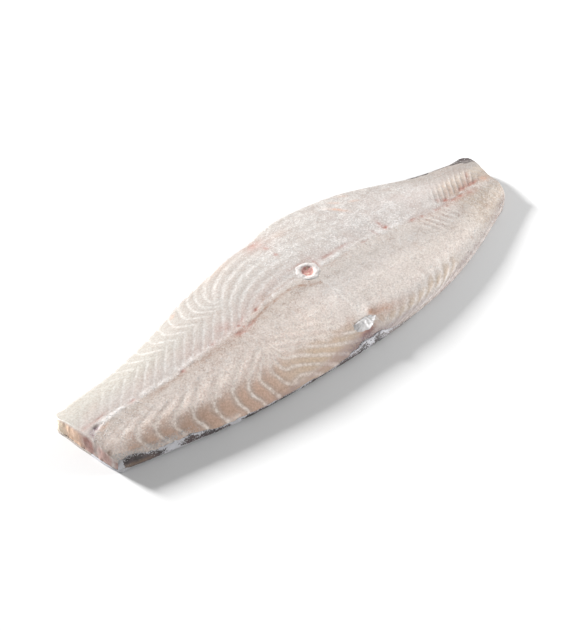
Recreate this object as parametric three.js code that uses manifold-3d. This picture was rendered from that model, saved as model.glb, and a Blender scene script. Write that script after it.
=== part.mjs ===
// Frozen saithe fillet lying on its skin. Millimetres, +Z up, +X towards the tail, +Y towards the
// thick back edge, with the origin under the middle of the footprint.
import * as THREE from "three";
import { mergeVertices } from "three/addons/utils/BufferGeometryUtils.js";
import Module from "manifold-3d";

// Plan of the whole fillet: [x, y] stations of its two long edges and of the line down its middle.
const BELLY_EDGE = [
  [-206, -31], [-190, -38.5], [-160, -46.5], [-120, -56.2], [-80, -62.6], [-20, -68.2],
  [40, -70], [85, -66.5], [125, -57.5], [165, -43.5], [207, -26],
];
const BACK_EDGE = [
  [-206, 30], [-190, 33], [-150, 35], [-110, 42.5], [-70, 54], [-42, 59.5], [-14, 64.5], [5, 65.8],
  [25, 70], [40, 71], [62, 68.3], [90, 62.2], [115, 52], [150, 36], [180, 28], [200, 23.6],
];
const MIDLINE = [
  [-206, -10], [-192, -5], [-165, -4], [-135, -6], [-100, -5], [-64, -5.5], [-48, -1],
  [-20, 1], [12, 1], [32, -1], [50, 0], [85, -3.5], [112, -9], [135, -11], [160, -9],
  [180, -8], [207, -11],
];
// The two ends, as [y, x] stations: a straight cut at the thick end, a slanting one at the tail.
const THICK_END = [
  [-36, -197], [-30, -201.5], [-20, -203.8], [-8, -204.9], [4, -206.5], [16, -207.3], [24, -208.2],
  [29, -205.5], [32, -201],
];
const TAIL_END = [
  [-36, 184], [-27, 197.5], [-18, 201.5], [-8, 201.4], [2, 204], [11, 206.5], [18, 204.8], [24, 198],
];

// Height of the top along the fillet: at the middle line and at the rounded rims of the two edges.
const CROWN_HEIGHT = [
  [-206, 17], [-150, 20], [-90, 23.5], [-30, 26], [30, 26.5], [90, 23], [140, 18], [207, 12],
];
const BELLY_RIM = [[-206, 11], [-90, 9], [30, 8], [140, 7], [207, 8]];
const BACK_RIM = [[-206, 13], [-90, 15], [-30, 16], [30, 16], [140, 14], [207, 11]];

// Skin under the fillet, with the gap to the flesh in it.
const SKIN = 1.15;
const GAP = 0.35;
const WRAP = SKIN + GAP;

// How each edge rounds from its flat underside to its rim: inset of the rim and of the flat
// underside, and height of the widest place as a share of the rim's.
const ROUNDING = {
  belly: { rim: 4.5, under: 8, widest: 0.42 },
  back: { rim: 6, under: 7, widest: 0.4 },
  thick: { rim: 3, under: 1.2, widest: 0.3 },
  tail: { rim: 3, under: 3, widest: 0.45 },
};
const RIM_TURN = THREE.MathUtils.degToRad(50);

// Hollow across the face of the thick end's cut.
const END_DENT = 1.4;

// Muscle segments: spacing of the sheets between them in each run.
const SPACING = { chevrons: 9.6, backArcs: 7.8, bellyArcs: 6.8, backTail: 5.6, bellyTail: 5 };

// Bone ring in the middle line.
const RING = { x: 10, y: 1.2, radius: 8.9, hole: 5.2, depth: 6, proud: 0.9, dish: 2.4 };

// Clump of ice on the belly edge.
const CLUMP = { x: 12, y: -56, length: 21, width: 8, height: 3.2 };

// Fineness of the surfaces: columns along the fillet, those of them in the tail and the share of the
// length where it starts, rows across, and steps up the side.
const COLUMNS = 120;
const TAIL_COLUMNS = 36;
const TAIL_FROM = 0.8;
const ROWS = 30;
const SIDE_STEPS = 3;

const { clamp, lerp, smoothstep } = THREE.MathUtils;

// Smooth line through [place, value] stations: cubic pieces with Catmull-Rom slopes.
function track(stations, place) {
  const last = stations.length - 1;
  const at = clamp(place, stations[0][0], stations[last][0]);
  let i = 0;
  while (i < last - 1 && at > stations[i + 1][0]) i += 1;
  const [p0, v0] = stations[i];
  const [p1, v1] = stations[i + 1];
  const before = stations[Math.max(i - 1, 0)];
  const after = stations[Math.min(i + 2, last)];
  const slope0 = (v1 - before[1]) / (p1 - before[0]);
  const slope1 = (after[1] - v0) / (after[0] - p0);
  const step = p1 - p0;
  const t = (at - p0) / step;
  return (
    (2 * t ** 3 - 3 * t ** 2 + 1) * v0 +
    (t ** 3 - 2 * t ** 2 + t) * step * slope0 +
    (3 * t ** 2 - 2 * t ** 3) * v1 +
    (t ** 3 - t ** 2) * step * slope1
  );
}

const middle = (x) => track(MIDLINE, x);

// A ramp that is flat before a place and climbs after it, with a soft corner.
const ramp = (distance, softness) => (distance + Math.hypot(distance, softness)) / 2;

// ---- Muscle segments: each field counts the segments, so its whole numbers are the sheets between them.

// Rounded arcs about the ring: ellipses towards the tail, straighter flanks towards the thick end.
function arcHeight(x, up) {
  const along = x - RING.x;
  if (along > 0) return Math.hypot(up, 0.62 * along);
  return up + 0.8 * (Math.hypot(along, 38) - 38);
}

// The back edge has W-shaped chevrons, then the arcs, then slanting stripes in the tail.
function backSegments(x, y) {
  const up = y - middle(x);
  const zigzag = 0.95 * (up - 1.75 * (ramp(up - 22, 2.5) - ramp(up - 35, 2.5)));
  const chevrons = (x - zigzag) / SPACING.chevrons;
  const arcs = -6.25 - (arcHeight(x, up) - 42) / SPACING.backArcs;
  const tail = (x - 0.78 * up) / SPACING.backTail;
  const body = lerp(chevrons, arcs, smoothstep(x + 0.3 * up, -75, -40));
  return lerp(body, tail, smoothstep(x, 122, 128));
}

// Along the belly edge the sheets turn back in a row of C shapes, with their backs to the thick end.
const C_BACKS = [[-206, -24], [-178, -29], [-154, -37], [-123, -45], [-94, -48], [-60, -44]];
const C_COUNT = [[-206, -2.1], [-178, 0], [-154, 2], [-123, 4], [-94, 6], [-72, 8], [-52, 10]];

function bellySegments(x, y) {
  let root = x;
  for (let pass = 0; pass < 8; pass += 1) {
    const above = y - track(C_BACKS, root);
    const bend = 0.9 * ramp(above - 1, 4) + 0.6 * ramp(above - 9, 4) + 0.5 * ramp(-above - 1, 4);
    root = lerp(root, x - bend + 1.6, 0.7);
  }
  const down = middle(x) - y;
  const arcs = 12 - (arcHeight(x, down) - 38) / SPACING.bellyArcs;
  const tail = (x - 0.5 * down) / SPACING.bellyTail;
  const body = lerp(track(C_COUNT, root), arcs, smoothstep(x, -66, -50));
  return lerp(body, tail, smoothstep(x, 106, 112) * smoothstep(y, -36, -28));
}

// How strongly the segments show in the surface.
function segmentDepth(x, y) {
  const up = y - middle(x);
  const onTail = smoothstep(x, 130, 150);
  if (up > 0) return lerp(0.4, 0.75, onTail) * smoothstep(up, 1, 5);
  const nearEdge = smoothstep(-up, 18, 34);
  return lerp(lerp(0.12, 0.45, nearEdge), 0.35, onTail) * smoothstep(-up, 1, 5);
}

// A round hollow or bump, 1 in its middle.
const bowl = (x, y, atX, atY, radius) =>
  Math.exp(-(((x - atX) ** 2 + (y - atY) ** 2) / radius ** 2));

// Grooves and hollows of the top: the middle line, the two seams across it, the pits by the ice.
function furrows(x, y) {
  const offLine = y - middle(x);
  const line = lerp(1.1, 2.4, smoothstep(x, 120, 185)) * Math.exp(-((offLine / 3.2) ** 2));
  const ringSeam = 0.7 * Math.exp(-(((x - RING.x + 0.1 * offLine) / 3) ** 2));
  const tailSeam = 0.5 * Math.exp(-(((x - 82 - 0.06 * offLine) / 3) ** 2));
  const pits = 1.2 * bowl(x, y, 23, -52, 5) + 0.8 * bowl(x, y, 5, -51, 4);
  return line + (ringSeam + tailSeam) * smoothstep(Math.abs(offLine), 6, 12) + pits;
}

// Broad unevenness of the top.
const lumps = (x, y) =>
  0.35 * Math.sin(x / 17 + y / 23) +
  0.3 * Math.sin(x / 29 - y / 13 + 1) +
  0.15 * Math.sin(x / 7 + y / 9);

// Smooth top of the fillet: crowned along the middle line, falling away to the two rims.
function topHeight(x, y) {
  const line = middle(x);
  const crown = track(CROWN_HEIGHT, x);
  const onBack = y > line;
  const edge = onBack
    ? track(BACK_EDGE, x) - ROUNDING.back.rim
    : track(BELLY_EDGE, x) + ROUNDING.belly.rim;
  const rim = track(onBack ? BACK_RIM : BELLY_RIM, x);
  const share = clamp((y - line) / (edge - line), 0, 1.3);
  return rim + (crown - rim) * (1 - share ** (onBack ? 3 : 2.4));
}

// Where the skin is folded over the back of the tail, the flesh under it is smooth.
function underFold(x, y) {
  const alongBack = smoothstep(x, 150, 165) * (1 - smoothstep(track(BACK_EDGE, x) - y, 9, 15));
  const atEnd = smoothstep(x, 186, 193) * smoothstep(y, 0, 7);
  return Math.max(alongBack, atEnd);
}

function fleshHeight(x, y, inside) {
  const count = y > middle(x) ? backSegments(x, y) : bellySegments(x, y);
  const flakes = segmentDepth(x, y) * Math.cos(2 * Math.PI * (count - 0.5));
  const relief = flakes + lumps(x, y) - furrows(x, y);
  return topHeight(x, y) + inside * (1 - underFold(x, y)) * relief;
}

// ---- Plan: a patch between the two long edges (v = 0 and 1) and the two ends (u = 0 and 1).

const SPAN = {
  belly: [-197, 184],
  back: [-201, 198],
};

const long = (edge, [from, to], u) => {
  const x = lerp(from, to, u);
  return new THREE.Vector2(x, track(edge, x));
};
const bellyPoint = (u) => long(BELLY_EDGE, SPAN.belly, u);
const backPoint = (u) => long(BACK_EDGE, SPAN.back, u);

// An end's own line, moved so that it meets both long edges.
function endPoint(stations, from, to, v) {
  const raw = (t) => {
    const y = lerp(stations[0][0], stations[stations.length - 1][0], t);
    return new THREE.Vector2(track(stations, y), y);
  };
  const miss0 = from.clone().sub(raw(0));
  const miss1 = to.clone().sub(raw(1));
  return raw(v).addScaledVector(miss0, 1 - v).addScaledVector(miss1, v);
}

function planPoint(u, v) {
  const corners = [bellyPoint(0), bellyPoint(1), backPoint(0), backPoint(1)];
  const thick = endPoint(THICK_END, corners[0], corners[2], v);
  const tail = endPoint(TAIL_END, corners[1], corners[3], v);
  const low = corners[0].clone().lerp(corners[1], u);
  const high = corners[2].clone().lerp(corners[3], u);
  return bellyPoint(u)
    .lerp(backPoint(u), v)
    .add(thick.lerp(tail, u))
    .sub(low.lerp(high, v));
}

const widthAt = (u) => backPoint(u).y - bellyPoint(u).y;
const LENGTH = SPAN.back[1] - SPAN.back[0];

// ---- Edge: the side from the flat underside (climb 0) up to the rim (climb 1) and over it.

// Rounding at a place on the border, eased from the long edges into the ends.
function rounding(u, side) {
  const own = ROUNDING[side];
  const thick = side === "thick" ? 1 : 1 - smoothstep(u, 0, 0.03);
  const tail = side === "tail" ? 1 : smoothstep(u, 0.965, 1);
  const mixed = (key) => lerp(lerp(own[key], ROUNDING.thick[key], thick), ROUNDING.tail[key], tail);
  return { rim: mixed("rim"), under: mixed("under"), widest: mixed("widest") };
}

// Inset from the outline and height of the flesh's side, at a climb from 0 to 1.
function sideProfile(place, climb) {
  const { u, side, rimHeight, v } = place;
  const { rim, under, widest } = rounding(u, side);
  const turn = lerp(-Math.PI / 2, RIM_TURN, climb);
  const middleHeight = lerp(WRAP, rimHeight, widest);
  const hollow = END_DENT * Math.sin(Math.PI * v) * Math.sin(Math.PI * climb) ** 2;
  const start = WRAP + (side === "thick" ? hollow : 0);
  if (turn < 0) {
    return {
      inset: start + under * (1 - Math.cos(turn)),
      z: lerp(middleHeight, WRAP, -Math.sin(turn)),
    };
  }
  const over = (1 - Math.cos(turn)) / (1 - Math.cos(RIM_TURN));
  const rise = Math.sin(turn) / Math.sin(RIM_TURN);
  return { inset: start + (rim - WRAP) * over, z: lerp(middleHeight, rimHeight, rise) };
}

// The same profile moved outwards by a distance, square to itself. At climb 0 that is straight down.
function movedProfile(place, climb, outwards) {
  const at = sideProfile(place, climb);
  if (climb === 0) return { inset: at.inset, z: at.z - outwards };
  const step = 0.02;
  const low = sideProfile(place, Math.max(climb - step, 0));
  const high = sideProfile(place, Math.min(climb + step, 1));
  const slope = new THREE.Vector2(high.inset - low.inset, high.z - low.z).normalize();
  return { inset: at.inset - slope.y * outwards, z: at.z + slope.x * outwards };
}

// Places round the border, in order, at the chosen steps along the edges and the ends.
function borderPlaces(alongs, acrosses) {
  const inner = (list) => list.slice(0, -1);
  const places = [
    ...inner(alongs).map((u) => ({ u, v: 0, side: "belly" })),
    ...inner(acrosses).map((v) => ({ u: 1, v, side: "tail" })),
    ...inner([...alongs].reverse()).map((u) => ({ u, v: 1, side: "back" })),
    ...inner([...acrosses].reverse()).map((v) => ({ u: 0, v, side: "thick" })),
  ];
  return places.map((place) => {
    const rimPoint = pointInset(place, () => rounding(place.u, place.side).rim);
    return { ...place, rimHeight: topHeight(rimPoint.x, rimPoint.y) };
  });
}

// Plan point at a border place, moved in by an inset that may differ from side to side.
function pointInset(place, insetOf) {
  const { u, v, side } = place;
  const own = insetOf(side);
  if (side === "belly" || side === "back") {
    const across = own / widthAt(u);
    const along = lerp(insetOf("thick"), -insetOf("tail"), u) / LENGTH;
    return planPoint(clamp(u + along * endShare(u), 0, 1), side === "belly" ? across : 1 - across);
  }
  const along = own / LENGTH;
  const across = lerp(insetOf("belly"), -insetOf("back"), v) / widthAt(u);
  return planPoint(side === "thick" ? along : 1 - along, v + across);
}

// The shift along an edge fades away from its ends, where it is whole.
const endShare = (u) => 1 - smoothstep(Math.min(u, 1 - u), 0, 0.04);

// Loop of points round the fillet at a climb for each place. A climb above 1 runs on over the top,
// by this distance for each 1.
const OVER_TOP = 10;

function sideLoop(places, climbOf, outwards) {
  return places.map((place) => {
    const climb = climbOf(place);
    const wall = Math.min(climb, 1);
    const over = Math.max(climb - 1, 0) * OVER_TOP;
    const plan = pointInset(place, (side) => movedProfile({ ...place, side }, wall, outwards).inset + over);
    const wallHeight = movedProfile(place, wall, outwards).z;
    const z = over > 0 ? topHeight(plan.x, plan.y) + outwards : wallHeight;
    return new THREE.Vector3(plan.x, plan.y, z);
  });
}

// ---- Closed surfaces

// Band of triangles between two loops of points, given by the index at which each loop starts.
function band(faces, from, to, count) {
  for (let i = 0; i < count; i += 1) {
    const next = (i + 1) % count;
    faces.push(from + i, from + next, to + next, from + i, to + next, to + i);
  }
}

function cap(faces, loop, start, facingUp) {
  const contour = loop.map((p) => new THREE.Vector2(p.x, p.y));
  THREE.ShapeUtils.triangulateShape(contour, []).forEach(([a, b, c]) => {
    faces.push(start + a, start + (facingUp ? b : c), start + (facingUp ? c : b));
  });
}

function geometryOf(points, faces) {
  const geometry = new THREE.BufferGeometry().setFromPoints(points);
  geometry.setIndex(faces);
  return geometry;
}

const steps = (count, from = 0, to = 1) =>
  Array.from({ length: count + 1 }, (_, i) => lerp(from, to, i / count));

// Steps along the fillet, closer together in the tail, where the segments are narrow.
const ALONG = [
  ...steps(COLUMNS - TAIL_COLUMNS, 0, TAIL_FROM).slice(0, -1),
  ...steps(TAIL_COLUMNS, TAIL_FROM, 1),
];
const ACROSS = steps(ROWS);

function fleshGeometry() {
  const places = borderPlaces(ALONG, ACROSS);
  const count = places.length;
  const points = [];
  const faces = [];
  for (let i = 0; i <= SIDE_STEPS; i += 1) points.push(...sideLoop(places, () => i / SIDE_STEPS, 0));
  for (let i = 0; i < SIDE_STEPS; i += 1) band(faces, i * count, (i + 1) * count, count);
  cap(faces, points.slice(0, count), 0, false);

  const rimStart = SIDE_STEPS * count;
  const onRim = (i, j) => {
    const [c, r] = [COLUMNS, ROWS];
    if (j === 0) return i;
    if (i === c) return c + j;
    if (j === r) return c + r + (c - i);
    return 2 * c + r + (r - j);
  };
  const onBorder = (i, j) => i === 0 || j === 0 || i === COLUMNS || j === ROWS;
  const rim = (i, j) => points[rimStart + onRim(i, j)];
  const inner = new Map();
  for (let j = 1; j < ROWS; j += 1) {
    for (let i = 1; i < COLUMNS; i += 1) {
      const plan = rimPatch(rim, i, j);
      const inset = Math.min(i, j, COLUMNS - i, ROWS - j);
      inner.set(i + ":" + j, points.length);
      points.push(new THREE.Vector3(plan.x, plan.y, fleshHeight(plan.x, plan.y, Math.min(inset / 2, 1))));
    }
  }
  const index = (i, j) => (onBorder(i, j) ? rimStart + onRim(i, j) : inner.get(i + ":" + j));
  for (let j = 0; j < ROWS; j += 1) {
    for (let i = 0; i < COLUMNS; i += 1) {
      const [a, b, c, d] = [index(i, j), index(i + 1, j), index(i + 1, j + 1), index(i, j + 1)];
      if (points[a].y > middle(points[a].x)) faces.push(a, b, c, a, c, d);
      else faces.push(a, b, d, b, c, d);
    }
  }
  return geometryOf(points, faces);
}

// Plan point inside the rim, blended from the four rows of points round it.
function rimPatch(rim, i, j) {
  const u = ALONG[i];
  const v = ACROSS[j];
  const mix = (a, b, t) => new THREE.Vector2(lerp(a.x, b.x, t), lerp(a.y, b.y, t));
  const low = mix(rim(0, 0), rim(COLUMNS, 0), u);
  const high = mix(rim(0, ROWS), rim(COLUMNS, ROWS), u);
  return mix(rim(i, 0), rim(i, ROWS), v)
    .add(mix(rim(0, j), rim(COLUMNS, j), u))
    .sub(mix(low, high, v));
}

// ---- Skin: a shallow tray with a ragged edge, high along the belly near the thick end and folded
// over the back of the tail.

// Climb of the skin's edge round the fillet: [share of the way along, climb].
const SKIN_ON_BELLY = [
  [0, 0.2], [0.03, 0.8], [0.12, 0.93], [0.3, 0.85], [0.55, 0.8], [0.7, 0.62], [1, 0.62],
];
const SKIN_ON_BACK = [
  [0, 0.2], [0.04, 0.55], [0.6, 0.68], [0.82, 0.75], [0.9, 0.98], [0.94, 1.2], [0.98, 1.5], [1, 1.5],
];
const SKIN_ON_TAIL = [[0, 0.62], [0.6, 0.62], [0.8, 1.1], [1, 1.5]];

function skinClimb({ u, v, side }) {
  if (side === "thick") return SKIN_ON_BELLY[0][1];
  if (side === "tail") return track(SKIN_ON_TAIL, v);
  const ragged = 0.05 * Math.sin(61 * u) + 0.035 * Math.sin(143 * u + 2);
  const wall = track(side === "belly" ? SKIN_ON_BELLY : SKIN_ON_BACK, u);
  return wall + ragged * smoothstep(Math.min(u, 1 - u), 0.01, 0.05);
}

// The skin's own steps up its wall meet each of the flesh's, so that its flat faces stay clear of them.
function skinSteps(place) {
  const wall = skinClimb(place);
  const first = Math.min(1 / SIDE_STEPS, wall * 0.5);
  const second = Math.min(2 / SIDE_STEPS, lerp(first, wall, 0.85));
  const third = Math.min(1, lerp(second, wall, 0.75));
  return [0, first, second, third, wall];
}

// The skin takes one in so many of the flesh's steps, but all of them near its two ends.
const coarse = (list, keep) => list.filter((_, i) => i % keep === 0 || i < 5 || i > list.length - 13);

function skinGeometry() {
  const places = borderPlaces(coarse(ALONG, 3), coarse(ACROSS, 2));
  const count = places.length;
  const climbs = new Map(places.map((place) => [place, skinSteps(place)]));
  const last = climbs.get(places[0]).length - 1;
  const points = [];
  const faces = [];
  for (let i = 0; i <= last; i += 1) points.push(...sideLoop(places, (place) => climbs.get(place)[i], WRAP));
  for (let i = last; i >= 0; i -= 1) points.push(...sideLoop(places, (place) => climbs.get(place)[i], GAP));
  const rings = 2 * last + 2;
  for (let i = 0; i < rings - 1; i += 1) band(faces, i * count, (i + 1) * count, count);
  cap(faces, points.slice(0, count), 0, false);
  cap(faces, points.slice((rings - 1) * count), (rings - 1) * count, true);
  return geometryOf(points, faces);
}

// ---- Bone ring and the round socket for it

function latheAt(profile, x, y, z) {
  const segments = 24;
  const geometry = new THREE.LatheGeometry(profile.map(([r, h]) => new THREE.Vector2(r, h)), segments);
  geometry.rotateX(Math.PI / 2);
  geometry.translate(x, y, z);
  return geometry;
}

const ringTop = topHeight(RING.x, RING.y) - 1;

function ringGeometry() {
  const { radius, hole, depth, proud, dish } = RING;
  const profile = [
    [0, -depth], [radius - 0.6, -depth], [radius, 0.6 - depth], [radius, proud - 1],
    [radius - 1, proud - 0.2], [(radius + hole) / 2, proud], [hole + 0.4, proud - 0.4],
    [hole, proud - dish], [0, proud - dish - 0.5],
  ];
  return latheAt(profile, RING.x, RING.y, ringTop);
}

function socketGeometry() {
  const radius = RING.radius + GAP;
  const above = 10;
  const profile = [[0, -RING.depth - GAP], [radius, -RING.depth - GAP], [radius, above], [0, above]];
  return latheAt(profile, RING.x, RING.y, ringTop);
}

// ---- Clump of ice: a lobed cushion that follows the flesh under it

function clumpGeometry() {
  const segments = 24;
  const rings = 5;
  const { x, y, length, width, height } = CLUMP;
  const lobes = (angle) => 1 + 0.16 * Math.sin(3 * angle + 0.6) + 0.1 * Math.sin(5 * angle + 2);
  const planAt = (ring, angle) => {
    const reach = (ring / rings) * lobes(angle);
    return [x + (reach * length * Math.cos(angle)) / 2, y + (reach * width * Math.sin(angle)) / 2];
  };
  const floor = (px, py) => fleshHeight(px, py, 1) + 0.8;
  const bulge = (ring, angle) =>
    0.5 + height * (1 - (ring / rings) ** 2) * (1 + 0.2 * Math.sin(2 * angle + 1) * (ring / rings));
  const points = [];
  const faces = [];
  const addSide = (topSide) => {
    const start = points.length;
    for (let ring = rings; ring >= 1; ring -= 1) {
      for (let i = 0; i < segments; i += 1) {
        const angle = (2 * Math.PI * i) / segments;
        const [px, py] = planAt(ring, angle);
        points.push(new THREE.Vector3(px, py, floor(px, py) + (topSide ? bulge(ring, angle) : 0)));
      }
    }
    points.push(new THREE.Vector3(x, y, floor(x, y) + (topSide ? height + 0.5 : 0)));
    return start;
  };
  const lower = addSide(false);
  const upper = addSide(true);
  const fan = (start, up) => {
    for (let ring = 0; ring < rings - 1; ring += 1) {
      if (up) band(faces, start + ring * segments, start + (ring + 1) * segments, segments);
      else band(faces, start + (ring + 1) * segments, start + ring * segments, segments);
    }
    const last = start + (rings - 1) * segments;
    for (let i = 0; i < segments; i += 1) {
      const next = last + ((i + 1) % segments);
      if (up) faces.push(last + i, next, start + rings * segments);
      else faces.push(next, last + i, start + rings * segments);
    }
  };
  fan(lower, false);
  fan(upper, true);
  band(faces, lower, upper, segments);
  return geometryOf(points, faces);
}

// ---- Cutting the socket

const wasm = await Module();
wasm.setup();

function solidOf(geometry) {
  const bare = geometry.clone();
  bare.deleteAttribute("normal");
  bare.deleteAttribute("uv");
  const merged = mergeVertices(bare, 1e-4);
  const vertProperties = merged.attributes.position.array;
  const triVerts = new Uint32Array(merged.index.array);
  return new wasm.Manifold(new wasm.Mesh({ numProp: 3, vertProperties, triVerts }));
}

function cutOut(geometry, tool) {
  const { numProp, vertProperties, triVerts } = solidOf(geometry).subtract(solidOf(tool)).getMesh();
  const left = new THREE.BufferGeometry();
  left.setAttribute("position", new THREE.BufferAttribute(vertProperties, numProp));
  left.setIndex(new THREE.BufferAttribute(triVerts, 1));
  return left;
}

// ---- The fillet

const group = new THREE.Group();

function addPart(name, geometry, color, roughness) {
  geometry.computeVertexNormals();
  const material = new THREE.MeshStandardMaterial({ color, roughness, metalness: 0 });
  const mesh = new THREE.Mesh(geometry, material);
  mesh.name = name;
  group.add(mesh);
}

addPart("flesh", cutOut(fleshGeometry(), socketGeometry()), "#e3d6cd", 0.6);
addPart("skin", skinGeometry(), "#2f2b2a", 0.45);
addPart("bone_ring", ringGeometry(), "#e8dedb", 0.5);
addPart("ice_clump", clumpGeometry(), "#f2f3f4", 0.35);

// The origin goes under the middle of the footprint.
const middlePoint = new THREE.Box3().setFromObject(group).getCenter(new THREE.Vector3());
group.children.forEach((mesh) => mesh.geometry.translate(-middlePoint.x, -middlePoint.y, 0));

export default group;
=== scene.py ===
"""Frozen saithe fillet lying on its skin, on a white floor in soft light from behind.

Everything is worked out in millimetres in the fillet's own plan: +X towards the tail, +Y towards the
thick back edge, +Z up. Meshes are turned into metres as they are made.
"""

import math
from types import SimpleNamespace

import bmesh
import bpy
import numpy as np
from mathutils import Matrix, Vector


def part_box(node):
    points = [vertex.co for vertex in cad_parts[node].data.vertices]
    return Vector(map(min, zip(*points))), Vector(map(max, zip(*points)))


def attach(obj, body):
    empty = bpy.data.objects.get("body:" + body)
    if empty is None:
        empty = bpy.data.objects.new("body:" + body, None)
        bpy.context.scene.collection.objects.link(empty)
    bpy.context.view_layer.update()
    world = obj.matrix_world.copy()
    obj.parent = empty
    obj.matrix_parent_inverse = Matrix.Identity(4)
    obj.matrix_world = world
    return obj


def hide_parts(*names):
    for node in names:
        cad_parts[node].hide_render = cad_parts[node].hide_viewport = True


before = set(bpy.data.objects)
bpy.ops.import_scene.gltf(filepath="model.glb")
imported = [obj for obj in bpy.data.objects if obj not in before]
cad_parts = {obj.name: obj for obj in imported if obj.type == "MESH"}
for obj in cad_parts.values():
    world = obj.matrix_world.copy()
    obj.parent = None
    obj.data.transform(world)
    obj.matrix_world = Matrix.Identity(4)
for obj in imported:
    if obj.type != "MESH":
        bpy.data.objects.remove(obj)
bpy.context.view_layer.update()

MM = 0.001

# ---- Sizes, in millimetres. Stations of the plan are (x, y), those of its two ends (y, x). The other
# lists run along the fillet: (x, value).

BELLY_EDGE = [
    (-206, -31), (-190, -38.5), (-160, -46.5), (-120, -56.2), (-80, -62.6), (-20, -68.2),
    (40, -70), (85, -66.5), (125, -57.5), (165, -43.5), (207, -26),
]
BACK_EDGE = [
    (-206, 30), (-190, 33), (-150, 35), (-110, 42.5), (-70, 54), (-42, 59.5), (-14, 64.5), (5, 65.8),
    (25, 70), (40, 71), (62, 68.3), (90, 62.2), (115, 52), (150, 36), (180, 28), (200, 23.6),
]
MIDLINE = [
    (-206, -10), (-192, -5), (-165, -4), (-135, -6), (-100, -5), (-64, -5.5), (-48, -1), (-20, 1),
    (12, 1), (32, -1), (50, 0), (85, -3.5), (112, -9), (135, -11), (160, -9), (180, -8), (207, -11),
]
THICK_END = [
    (-36, -197), (-30, -201.5), (-20, -203.8), (-8, -204.9), (4, -206.5), (16, -207.3), (24, -208.2),
    (29, -205.5), (32, -201),
]
TAIL_END = [
    (-36, 184), (-27, 197.5), (-18, 201.5), (-8, 201.4), (2, 204), (11, 206.5), (18, 204.8), (24, 198),
]
BELLY_SPAN = (-197, 184)
BACK_SPAN = (-201, 198)
LENGTH = BACK_SPAN[1] - BACK_SPAN[0]

# Height of the top along the fillet: at the middle line and at the two rims.
CROWN_HEIGHT = [
    (-206, 17), (-150, 20), (-90, 23.5), (-30, 26), (30, 26.5), (90, 23), (140, 18), (207, 12),
]
BELLY_RIM = [(-206, 11), (-90, 9), (30, 8), (140, 7), (207, 8)]
BACK_RIM = [(-206, 13), (-90, 15), (-30, 16), (30, 16), (140, 14), (207, 11)]

# Skin, with the gap that it fills: how far its outside stands off the flesh.
WRAP = 1.5

# Inset of the rim and of the flat underside, and height of the widest place as a share of the rim's.
ROUNDING = {
    "belly": {"rim": 4.5, "under": 8, "widest": 0.42},
    "back": {"rim": 6, "under": 7, "widest": 0.4},
    "thick": {"rim": 3, "under": 1.2, "widest": 0.3},
    "tail": {"rim": 3, "under": 3, "widest": 0.45},
}
RIM_TURN = math.radians(50)
END_DENT = 1.4

# Spacing of the sheets between the muscle segments, in each run of them.
SPACING = {"arcs": 9.5, "back_tail": 5.6, "belly_tail": 6.3, "belly_arcs": 6.8, "belly_hooks": 10.5}

# Where the slanted sheets of the tail take over, and how far they slant.
TAIL_SHEETS_FROM = {"back": (122, 128), "belly": (106, 110)}
TAIL_SLANT = {"back": 0.78, "belly": 0.5}

RING = {"x": 10, "y": 1.2, "radius": 8.9, "hole": 5.2, "depth": 4}
CLUMP = {"x": 12, "y": -56, "length": 21, "width": 8, "height": 1.984, "gap": 16}

# The seam across the fillet towards the tail, the pit by the ice, and the hole in the thick end.
TAIL_SEAM = 82
PIT = (22, -51)
END_HOLE = (-193.5, -4.5)

# How plainly the sheets show along each side, and how far in from the belly edge they do.
SHEETS_ON_BACK = [
    (-206, 0.12), (-185, 0.3), (-165, 0.45), (-150, 0.6), (-120, 0.7), (-60, 0.75), (-40, 0.75), (0, 0.6),
    (8, 0.4), (16, 0.35), (75, 0.3), (100, 0), (112, 0), (132, 0.12), (145, 0.7), (186, 0.75), (192, 0.1),
    (207, 0),
]
SHEETS_ON_BELLY = [
    (-206, 0), (-188, 0.3), (-178, 1), (-60, 1), (-20, 0.85), (10, 0.6), (20, 0.6), (50, 0.75), (70, 0.9),
    (106, 0.85), (112, 0.3),
]
SHEETS_FROM_BELLY_EDGE = [
    (-206, 16), (-180, 26), (-150, 31), (-110, 38), (-80, 37), (-55, 38), (-10, 32), (15, 16), (50, 14),
    (70, 18), (112, 18),
]
# Width of the white sheets on the back side: broad and soft about the ring.
SHEET_WIDTH = [(-206, 1.5), (-60, 1.6), (-42, 2.6), (20, 3.4), (80, 3), (120, 1), (207, 0.9)]

# Fineness of the flesh: columns along it, those in the tail and where it starts, rows, steps down its
# side. Steps of the skin up its side. Points round the ring and the clump, and loops of them.
COLUMNS = 470
TAIL_COLUMNS = 120
TAIL_FROM = 0.8
ROWS = 150
SIDE_STEPS = 14
SKIN_STEPS = 15
RING_FINENESS = (120, 39)
CLUMP_FINENESS = (200, 40)

# Thickness of the skin at its edge and at its thinnest, and the gap between its inside and the flesh.
SKIN_EDGE = 0.3
SKIN_THINNEST = 0.25
SKIN_GAP = 0.05
# How far the skin runs on over the top, for each whole climb above 1.
OVER_TOP = 10

# Loose grains of ice: how many on the flesh and on the skin, their size, and how far they stray.
FLESH_GRAINS = 5200
SKIN_GRAINS = 1600
GRAIN_SIZE = (0.15, 0.36)
GRAIN_STRAY = 0.45
# Round the ring there are none within this far of this place, and about the clump there are more.
NO_GRAINS = ((10, 1), 9)
MORE_GRAINS = ((14, -58), (12, 6))

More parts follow.
